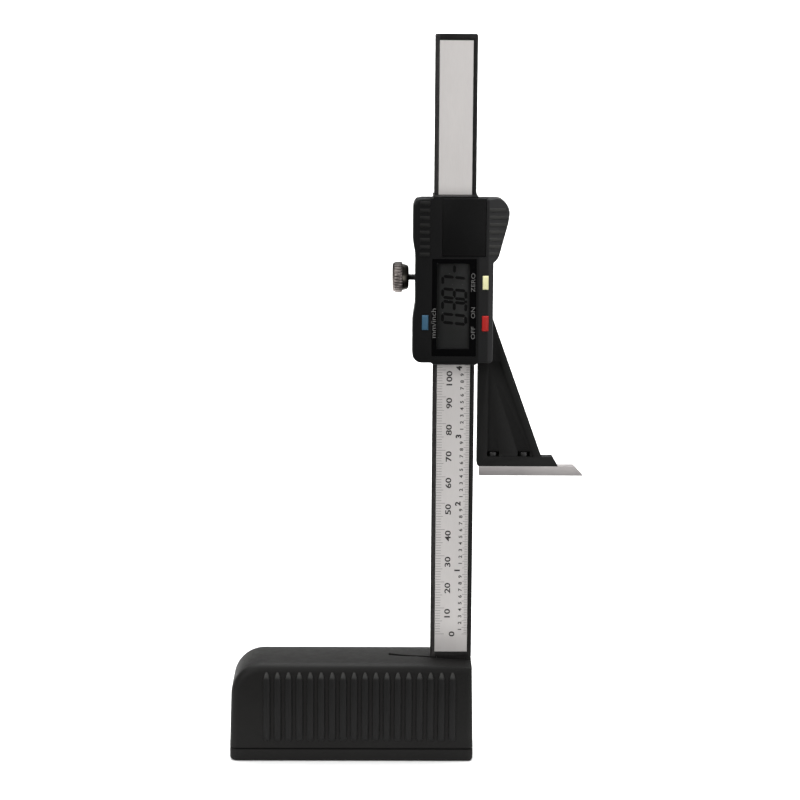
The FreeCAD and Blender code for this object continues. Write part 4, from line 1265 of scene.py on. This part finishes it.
@dataclass
class Beam:
    """Upright beam with its stop and the printed scale."""

    film_y: float = -1.94
    zero: float = 46.0
    left: float = -6.05
    right: float = 6.05
    tick: float = 0.11
    margin: float = 0.12
    inch: float = 25.4
    stop_screw: Flat = (BEAM_X, 261.3)

    def build(self) -> None:
        """Make the beam, its stop and the scale."""
        Piece.from_node("beam_bar", "beam").ease(0.22, 2, 40).dress(
            COMPOSITE_PAINTED_HIGHLIGHT, "base", "beam_composite", "beam")
        Piece.from_node("top_stop", "end_stop").ease(0.25, 3, 40).dress(
            COMPOSITE_PAINTED_HIGHLIGHT, "base", "beam_composite", "end_stop")
        screw = Piece.from_node("stop_screw", "end_stop_screw").ease(0.2, 3, 50)
        screw.recess(Way.Y, [self.stop_screw], face=5.2, sign=1, size=2.6, depth=0.8)
        screw.dress(DARK_STEEL, "base", "dark_screw", "end_stop_screw")
        Piece.from_node("film", "scale_label").ease(0.05, 1, 40).dress(
            FILM_PAINTED_SHADE, "base", "scale_print", "scale_label")
        self.print_ticks()
        self.print_numbers()

    def row(self, start: float, length: float, count: int, step: float,
            first: float) -> Piece:
        """A row of like ticks.

        Args:
            start: where each tick starts, from the beam's centre.
            length: how long it is.
            count: how many there are.
            step: the rise from one to the next.
            first: the level of the lowest.

        Returns:
            The row as one piece.
        """
        half = self.tick / 2
        tick = Piece.block("tick", (BEAM_X + start, self.film_y - 0.03, first - half),
                           (BEAM_X + start + length, self.film_y + 0.01, first + half))
        return tick.repeat(count, (0, 0, step))

    def print_ticks(self) -> None:
        """Millimetre ticks on the left edge and inch ticks on the right."""
        left, right, zero = self.left + self.margin, self.right - self.margin, self.zero
        rows = [self.row(*sizes) for sizes in (
            (left, 1.9, 151, 1.0, zero), (left + 1.9, 0.7, 15, 10.0, zero + 5.0),
            (left + 1.9, 1.4, 16, 10.0, zero), (right - 1.2, 1.2, 237, self.inch / 40, zero),
            (right - 1.9, 0.7, 60, self.inch / 10, zero),
            (right - 1.9, 0.7, 6, self.inch, zero + self.inch))]
        rows[0].gather("scale_ticks", rows[1:]).dress(SCALE_INK, "base", "scale_print")

    def print_numbers(self) -> None:
        """Numbers that read upwards along the beam."""
        pen = Lettering(NUMBER_INK, "base", "scale_print", stretch=1.42, weight=0.06,
                        anchor=Anchor.END)
        pen.write("millimetre_numbers", [
            (str(value), 2.9, BEAM_X - 1.35, self.zero + value - 0.3)
            for value in range(10, 151, 10)], self.film_y)
        pen.anchor = Anchor.MIDDLE
        pen.write("zero_number", [("0", 2.9, BEAM_X + 0.4, self.zero)], self.film_y)
        pen.stretch, pen.weight = 1.15, 0.12
        pen.write("inch_numbers", [
            (str(value), 2.7, BEAM_X + 2.2, self.zero + value * self.inch - 0.95)
            for value in range(1, 6)], self.film_y)
        pen.stretch, pen.weight = 1.2, 0.05
        pen.write("tenth_numbers", [
            (str(tenth), 1.75, BEAM_X + 3.3,
             self.zero + (whole * 10 + tenth) * (self.inch / 10) - 0.8)
            for whole in range(6) for tenth in range(1, 10)], self.film_y)


@dataclass
class Slider:
    """Slider: moulded cover with its grips, the body with its arm, and their screws."""

    low: float = 43.4
    high: float = 103.1
    lip: float = 103.8
    face: float = -11.0
    back: float = -2.65
    lip_half: float = 8.0
    moulded_lip: float = 104.3
    above: float = 105.0
    in_front: float = -12.0
    keys: tuple[tuple[float, float, float, float], ...] = (
        (10.95, 72.8, 2.1, 5.0), (11.0, 57.95, 2.4, 5.6), (-10.75, 58.25, 2.3, 5.4))
    key_gap: float = 0.08
    pad_left: float = 11.6
    pad_right: float = 20.5
    pad_low: float = 79.5
    pad_foot: float = 81.6
    pad_turn: float = 96.0
    pad_flanks: tuple[Flat, Flat] = ((15.75, 0.24), (26.8, -0.516))
    pad_slope: float = 9.0
    left_ridges: tuple[float, float, float, int] = (82.3, -12.9, -9.2, 8)
    pad_ridges: tuple[float, float, float, int] = (82.5, 12.0, 19.3, 7)
    ridge_pitch: float = 2.63
    ridge_high: float = 1.35
    ridge_proud: float = 0.32
    ridge_edge: float = 0.31
    ridge_roots: Flat = (-10.5, -5.0)
    cover_screws: tuple[Flat, ...] = ((-11.7, 99.6), (10.8, 47.4))
    gib_levels: Flat = (56.0, 90.0)
    gib_face: float = BEAM_X - 8.75 - 4.6
    blade_bolts: Flat = (14.9, 26.3)

    def place(self, u: float, w: float) -> Flat:
        """A point of the slider's frame in the world."""
        return BEAM_X + u, REST + w

    def box(self, name: str, u: Flat, y: Flat, w: Flat) -> Piece:
        """A block in the slider's frame, from its three spans."""
        low, high = self.place(u[0], w[0]), self.place(u[1], w[1])
        return Piece.block(name, (low[0], y[0], low[1]), (high[0], y[1], high[1]))

    def outline(self) -> list[Flat]:
        """The cover's outline in the world, counter-clockwise from the lower left.

        Returns:
            Its corners.
        """
        low, high, lip = self.low, self.high, self.moulded_lip
        corners = [
            (-15.35, low), (-8.6, low), (-7.7, 42.7), (7.7, 42.7), (8.6, low), (13.8, low),
            (13.8, 79.8), (15.5, 81.5), (19.0, 94.5), (19.5, 98.4), (18.5, 101.0),
            (15.9, high), (9.5, high), (8.6, lip), (-8.6, lip), (-9.5, high),
            (-15.35, high), (-15.35, 87.6), (-14.45, 82.6), (-14.45, 65.0), (-15.35, 59.4)]
        return [self.place(u, w) for u, w in corners]

    def build(self) -> None:
        """Make every visible part of the slider that isn't the display."""
        self.make_cover()
        self.make_body()
        self.make_screws()

    def make_cover(self) -> None:
        """Cover: rounded outline, hollow, window seat, door track, cell hole and grips."""
        corners = self.outline()
        cover = Piece.prism("cover", corners, Way.Y, self.face, self.back)
        for spots, width, steps in (
                ((corners[0], corners[16]), 3.4, 6), (corners[8:12], 1.1, 4),
                ((corners[5], corners[7]), 1.2, 4), (corners[17:21], 1.5, 4)):
            cover.round_edges(runs_at(Way.Y, spots), width, steps)
        cover.round_edges(on_level(Way.Y, self.face), 0.85, 4)
        cover.cut(self.box("hollow", (-13.15, 12.5), (-9.2, self.back + 1), (44.7, 101.8)))
        cover.cut(self.thumb_scoop())
        front, gap = self.in_front, self.key_gap
        cover.cut(
            self.box("window_seat", (-8.38, 7.68), (front, -10.2), (45.92, 81.38)),
            self.box("sight_hole", (-7.0, 6.3), (self.face, -9.0), (47.3, 80.0)),
            self.box("door_track", (-4.8, 11.0), (front, -9.9), (82.1, 105.3)),
            self.box("tongue_track", (-5.3, 11.5), (-10.6, -9.9), (82.1, 105.3)),
            Piece.rod("cell_hole", Way.Y, self.place(3.1, 89.9), radius=6.1, low=self.face,
                      high=-8.0, sides=64))
        for u, w, width, height in self.keys:
            cover.cut(self.box("button_hole", (u - width / 2 - gap, u + width / 2 + gap),
                               (front, -9.0), (w - height / 2 - gap, w + height / 2 + gap)))
        self.make_ridges()
        cover.cut(*self.lip_trim(self.high + 0.02))
        cover.dress(SLIDER_PLASTIC_PAINTED_LIGHT, "slider", "slider_moulding", "slider_cover")

    def make_ridges(self) -> None:
        """Finger ridges at the left, and at the right on the pad, ending inside its edge."""
        first, left, right, count = self.left_ridges
        ridges = [self.ridge(first + self.ridge_pitch * k, left, right, 0.0)
                  for k in range(count)]
        first, left, right, count = self.pad_ridges
        for k in range(count):
            level = first + self.ridge_pitch * k
            start, slope = self.pad_flanks[level >= self.pad_turn]
            reach = start + slope * (level - self.pad_foot)
            ridges.append(self.ridge(level, left, min(reach, right), self.pad_slope))
        ridges[0].gather("finger_ridges", ridges[1:]).dress(
            GRIP_PLASTIC_PAINTED_HIGHLIGHT, "slider", "slider_moulding")

    def lip_trim(self, shoulder: float) -> list[Piece]:
        """Cutters that draw the lip at the slider's top close round the beam.

        Args:
            shoulder: the level beside the lip.

        Returns:
            The cutters.
        """
        return [self.box("trim", span, (-14.0, 8.0), (level, self.above)) for span, level in (
            ((-17.0, -self.lip_half), shoulder), ((self.lip_half, 21.0), shoulder),
            ((-9.0, 9.0), self.lip))]

    def thumb_scoop(self) -> Piece:
        """Cutter that slopes the thumb pad away from the front face.

        Returns:
            The cutter.
        """
        left, right = BEAM_X + self.pad_left, BEAM_X + self.pad_right
        drop = (right - left) * math.tan(math.radians(self.pad_slope))
        return Piece.prism("scoop", [(left, self.face), (right, self.face + drop),
                                     (right, self.face - PAST), (left, self.face - PAST)],
                           Way.Z, REST + self.pad_low, REST + self.above)

    def ridge(self, low: float, left: float, right: float, lean: float) -> Piece:
        """One finger ridge with a rounded crest and ends.

        Args:
            low: the level of its lower flank.
            left: where it starts across the slider.
            right: where it ends.
            lean: how many degrees the pad under it slopes back to the right.

        Returns:
            The ridge.
        """
        deep = self.ridge_roots[lean > 0.0]
        bar = self.box("ridge", (left, right), (self.face - self.ridge_proud, deep),
                       (low, low + self.ridge_high))
        bar.round_edges(lambda a, b: min(a.y, b.y) < self.face, self.ridge_edge, 3)
        if lean:
            bar.turn(Way.Z, lean, (BEAM_X + self.pad_left, self.face, 0.0))
        return bar

    def make_body(self) -> None:
        """Body and arm with eased edges."""
        body = Piece.from_node("slider_frame", "slider_body")
        body.cut(*self.lip_trim(self.high - 1.0))
        body.ease(0.28, 3, 40).dress(ARM_PLASTIC, "slider", "slider_moulding", "slider_body")

    def make_screws(self) -> None:
        """Screw heads in the slider's back, its left edge and the arm's foot."""
        screws = Piece.from_node("cover_bolts", "cover_screws")
        screws.recess(Way.Y, [self.place(u, w) for u, w in self.cover_screws], face=4.8,
                      sign=1, size=2.4, depth=0.8)
        screws.dress(DARK_STEEL, "slider", "dark_screw", "cover_screws")
        grubs = Piece.from_node("gib_grubs", "gib_screws")
        grubs.recess(Way.X, [(0.0, REST + level) for level in self.gib_levels],
                     face=self.gib_face, sign=-1, size=1.5, depth=0.9)
        grubs.dress(DARK_STEEL, "slider", "dark_screw", "gib_screws")
        Piece.from_node("arm_nuts", "blade_nuts").ease(0.15, 2, 40).dress(
            DARK_STEEL, "slider", "dark_screw", "blade_nuts")
        flat = Piece.from_node("blade_bolts", "blade_screws")
        flat.recess(Way.Z, [(BEAM_X + u, 0.0) for u in self.blade_bolts], face=REST, sign=-1,
                    size=2.2, depth=0.7)
        flat.dress(DARK_STEEL, "slider", "dark_screw", "blade_screws")


@dataclass
class Display:
    """Window, liquid-crystal cell with its reading, labels, buttons and battery door."""

    face: float = -11.0
    reading: str = "03.87-"
    tall: float = 8.4
    wide: float = 3.1
    pitch: float = 4.55
    stroke: float = 1.05
    gap: float = 0.16
    slant: float = 0.1
    foil: Flat = (-9.16, -9.12)
    start: Flat = (3.95, 57.35)

    def build(self) -> None:
        """Make the display and what is pressed or slid beside it."""
        self.make_window()
        self.make_reading()
        self.make_labels()
        self.make_controls()

    def make_window(self) -> None:
        """Black mask with a clear pane let into it."""
        slider = Slider()
        mask = slider.box("window_frame", (-8.32, 7.62), (self.face + 0.03, -10.2),
                          (45.98, 81.32))
        mask.cut(slider.box("opening", (-6.6, 5.25), (-12.0, -9.0), (48.75, 79.75)))
        mask.ease(0.05, 1, 40).dress(WINDOW_MASK, "slider", "window", "display_window")
        pane = slider.box("window_pane", (-6.59, 5.24), (self.face + 0.05, -10.25),
                          (48.76, 79.74))
        pane.ease(0.05, 1, 40).dress(WINDOW_CLEAR, "slider", "window")
        glass = Piece.from_node("cell", "lcd_panel")
        glass.ease(0.15, 2, 40).dress(CELL_GLASS_PAINTED_LIGHT, "slider", "display_glass", "lcd_panel")

    def segment(self, name: str, a: Flat, b: Flat) -> Piece:
        """One display segment between two points of a digit, with pointed ends.

        Args:
            name: the segment's name.
            a: one end, across and up the digit.
            b: the other end.

        Returns:
            The segment at the origin.
        """
        start, end = Vector(a), Vector(b)
        line = (end - start).normalized()
        side = Vector((-line.y, line.x)) * self.stroke / 2
        start, end = start + line * self.gap, end - line * self.gap
        inset = line * self.stroke / 2
        points = [start, start + inset - side, end - inset - side, end, end - inset + side,
                  start + inset + side]
        flat = [(-point.y, point.x + self.slant * point.y) for point in points]
        return Piece.prism(name, flat, Way.Y, *self.foil)

    def make_reading(self) -> None:
        """The reading, climbing along the window with its tops to the left."""
        half, tall, wide = self.tall / 2, self.tall, self.wide
        bars = {"a": ((0, tall), (wide, tall)), "b": ((wide, tall), (wide, half)),
                "c": ((wide, half), (wide, 0)), "d": ((0, 0), (wide, 0)),
                "e": ((0, half), (0, 0)), "f": ((0, tall), (0, half)),
                "g": ((0, half), (wide, half))}
        lit = {"0": "abcdef", "3": "abgcd", "7": "abc", "8": "abcdefg", "-": "g"}
        masters = {name: self.segment(f"segment_{name}", *ends) for name, ends in bars.items()}
        copies = []
        x, rise = BEAM_X + self.start[0], REST + self.start[1]
        for sign in self.reading:
            if sign == ".":
                copies.append(Piece.block("point", (x - 0.6, self.foil[0], rise - 1.2),
                                          (x + 0.4, self.foil[1], rise - 0.35)))
                continue
            for name in lit[sign]:
                copies.append(masters[name].twin("part").shift((x, 0, rise)))
            rise += self.pitch
        for master in masters.values():
            master.discard()
        copies[0].gather("reading", copies[1:]).dress(SEGMENT_INK, "slider", "display_glass")

    def make_labels(self) -> None:
        """Plain words beside the buttons."""
        pen = Lettering(LABEL_INK, "slider", "window", stretch=1.32, weight=0.02,
                        thickness=0.02)
        pen.write("button_words", [
            ("ZERO", 2.05, BEAM_X + 6.52, 179.5), ("ON", 2.05, BEAM_X + 6.6, 168.5),
            ("OFF", 2.05, BEAM_X + 6.65, 161.1), ("mm/inch", 2.4, BEAM_X - 7.65, 164.65)],
            self.face)

    def make_controls(self) -> None:
        """Button caps and the battery door."""
        for node, finish, slot in (("zero_button", ZERO_CAP, "zero_cap"),
                                   ("power_button", POWER_CAP, "power_cap"),
                                   ("unit_button", UNIT_CAP, "unit_cap")):
            Piece.from_node(node.replace("button", "key"), node).ease(0.16, 3, 25).dress(
                finish, node, slot, node)
        door = Piece.from_node("cell_door", "battery_door").ease(0.2, 3, 40)
        door.dress(DOOR_PLASTIC, "battery_door", "slider_moulding", "battery_door")


@dataclass
class Fittings:
    """Blade, lock screw and the nodes that keep their CAD shape."""

    axis: Flat = (0.0, 180.0)
    knob_radius: float = 5.6
    flutes: int = 26
    flute_depth: float = 0.17
    flute_points: int = 6
    flute_half: float = 1.6
    head: Flat = (22.6, 18.9)
    back: float = 16.6

    def build(self) -> None:
        """Make the blade and the lock screw and finish the inner nodes."""
        Piece.from_node("blade", "scriber_blade").ease(0.12, 2, 30).dress(
            BLADE_STEEL, "slider", "blade_steel", "scriber_blade")
        self.make_knob()
        self.finish_nodes()

    def make_knob(self) -> None:
        """Fluted head with a dished end and a coned back, and the shank."""
        outer, inner, back = (BEAM_X - reach for reach in (*self.head, self.back))
        rings = [(outer, 1.3), (outer + 0.1, 0.9), (outer + 0.35, 0.5), (outer + 0.8, 0.17),
                 (outer + 1.3, 0.0), (inner - 0.5, 0.0), (inner - 0.1, 0.2), (inner, 0.45)]
        head = Piece.loft("lock_head", [(x, self.ring(less)) for x, less in rings], Way.X)
        head.cut(Piece.rod("dish", Way.X, self.axis, radius=3.0, low=outer - 1,
                           high=outer + 0.3, sides=64))
        head.dress(KNOB_METAL_PAINTED_REFLECTION, "lock_knob", "knob_metal", "lock_knob", crease=28.0)
        collar = Piece.rod("lock_collar", Way.X, self.axis, radius=5.0, low=inner - 0.3,
                           high=back, sides=64, far_radius=4.3)
        collar.round_edges(on_level(Way.X, back), 0.9, 4)
        collar.dress(KNOB_SHADE, "lock_knob", "knob_metal")
        shank = Piece.from_node("lock_rod", "lock_shank")
        shank.dress(DARK_STEEL, "lock_shank", "knob_metal", "lock_shank")

    def ring(self, less: float) -> list[Flat]:
        """The head's fluted outline.

        Args:
            less: how far it is drawn in from the knob's radius.

        Returns:
            Its corners.
        """
        per, spots = self.flute_points, []
        for step in range(self.flutes * per):
            turn = 2 * math.pi * step / (self.flutes * per)
            notch = max(0.0, 1 - abs((step % per) - per / 2) / self.flute_half)
            reach = self.knob_radius - less - self.flute_depth * notch
            spots.append((self.axis[0] + reach * math.cos(turn),
                          self.axis[1] + reach * math.sin(turn)))
        return spots

    def finish_nodes(self) -> None:
        """Give the CAD nodes that stay their finishes."""
        finishes = {
            "ballast_block": IRON, "base_magnets": NICKEL, "beam_inserts": BRASS,
            "scale_strip": LAMINATE, "gib_strip": BRASS, "contact_strip": RUBBER,
            "main_board": LAMINATE, "key_switches": PLAIN_STEEL,
            "battery_contact": PLAIN_STEEL, "battery": NICKEL}
        for node, finish in finishes.items():
            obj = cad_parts[node]
            if obj.material_slots:
                obj.material_slots[0].material = finish.material()
            else:
                obj.data.materials.append(finish.material())
            LOG.info("%s keeps its CAD shape", node)


@dataclass
class Studio:
    """Pale sweep, soft lights and the camera."""

    sweep_half: float = 2600.0
    sweep_front: float = -64.0
    sweep_back: float = 2600.0
    sweep_bend: float = 280.0
    sheet: float = 1.0
    wall: Flat = (340.0, 20.0)
    camera_place: Spot = (5.667, -868.839, 291.513)
    yaw: float = 0.78
    pitch: float = 10.248
    roll: float = 0.36
    lens: float = 108.0
    sensor: float = 36.0
    reach: float = 30.0
    glow: Flat = (0.06, 1.3)

    def build(self) -> None:
        """Set up the stage."""
        self.make_sweep()
        self.make_lights()
        self.make_camera()

    def make_sweep(self) -> None:
        """Floor that curves up into a wall behind the gauge."""
        Piece.clear()
        front, back, (high, thick) = self.sweep_front, self.sweep_back, self.wall
        profile = [(front, 0.0), (back, 0.0), (back, high), (back + thick, high),
                   (back + thick, -self.sheet), (front, -self.sheet)]
        sweep = Piece.prism("sweep", profile, Way.X, -self.sweep_half, self.sweep_half)
        sweep.round_edges(runs_at(Way.X, [profile[1]]), self.sweep_bend, 24)
        recipe = Recipe("sweep_paper")
        fibre = recipe.noise(recipe.place(), 60.0, 2.0)
        recipe.set(Base_Color=recipe.blend(fibre, (0.86, 0.86, 0.86), (0.9, 0.9, 0.9)),
                   Roughness=0.9, Specular_IOR_Level=0.0)
        sweep.take()
        bpy.ops.object.shade_smooth_by_angle(angle=math.radians(30))
        sweep.obj.data.materials.append(recipe.material)

    def lamp(self, name: str, place: Spot, aim: Spot, size: Flat, power: float) -> None:
        """One soft area light.

        Args:
            name: its name.
            place: where it hangs.
            aim: what it points at.
            size: its width and height.
            power: its power in watts.
        """
        light = bpy.data.lights.new(name, "AREA")
        light.shape, light.size, light.size_y = "RECTANGLE", size[0] * MM, size[1] * MM
        light.energy = power
        lamp = bpy.data.objects.new(name, light)
        bpy.context.scene.collection.objects.link(lamp)
        heading = (Vector(aim) - Vector(place)).normalized()
        lamp.rotation_euler = heading.to_track_quat("-Z", "Y").to_euler()
        lamp.location = Vector(place) * MM

    def make_lights(self) -> None:
        """Large soft light overhead, soft light from the front, and light on the wall."""
        self.lamp("overhead", (100, 300, 1500), (0, 150, 0), (2400, 1800), 66.0)
        self.lamp("front_fill", (-850, -1150, 800), (20, 0, 150), (900, 700), 17.0)
        self.lamp("right_soft", (430, -900, 150), (40, 0, 150), (400, 600), 3.0)
        self.lamp("wall_light", (0, 1500, 1500), (0, 2600, 100), (3000, 900), 70.0)
        world = bpy.data.worlds.new("room")
        world.use_nodes = True
        ground = world.node_tree.nodes["Background"]
        ground.inputs["Color"].default_value = (0.9, 0.9, 0.92, 1.0)
        seen = world.node_tree.nodes.new("ShaderNodeLightPath").outputs["Is Camera Ray"]
        level = world.node_tree.nodes.new("ShaderNodeMapRange")
        for name, strength in zip(("To Min", "To Max"), self.glow):
            level.inputs[name].default_value = strength
        world.node_tree.links.new(seen, level.inputs["Value"])
        world.node_tree.links.new(level.outputs["Result"], ground.inputs["Strength"])
        bpy.context.scene.world = world

    def make_camera(self) -> None:
        """The camera that was fitted to the photograph's scale and outlines."""
        yaw, pitch, roll = (math.radians(a) for a in (self.yaw, self.pitch, self.roll))
        ahead = Vector((math.sin(yaw) * math.cos(pitch), math.cos(yaw) * math.cos(pitch),
                        -math.sin(pitch)))
        right = Vector((math.cos(yaw), -math.sin(yaw), 0.0))
        up = right.cross(ahead)
        right, up = (right * math.cos(roll) + up * math.sin(roll),
                     up * math.cos(roll) - right * math.sin(roll))
        data = bpy.data.cameras.new("camera")
        data.lens, data.sensor_width, data.clip_end = self.lens, self.sensor, self.reach
        camera = bpy.data.objects.new("camera", data)
        bpy.context.scene.collection.objects.link(camera)
        turn = Matrix((right, up, -ahead)).transposed().to_4x4()
        camera.matrix_world = Matrix.Translation(Vector(self.camera_place) * MM) @ turn
        bpy.context.scene.camera = camera


def main() -> None:
    """Build every sub-assembly in order."""
    logging.basicConfig(level=logging.INFO, format="%(message)s")
    bpy.context.scene.view_settings.view_transform = "Standard"
    for part in (Base(), Beam(), Slider(), Display(), Fittings(), Studio()):
        LOG.info("building %s", type(part).__name__)
        part.build()


if __name__ == "__main__":
    main()
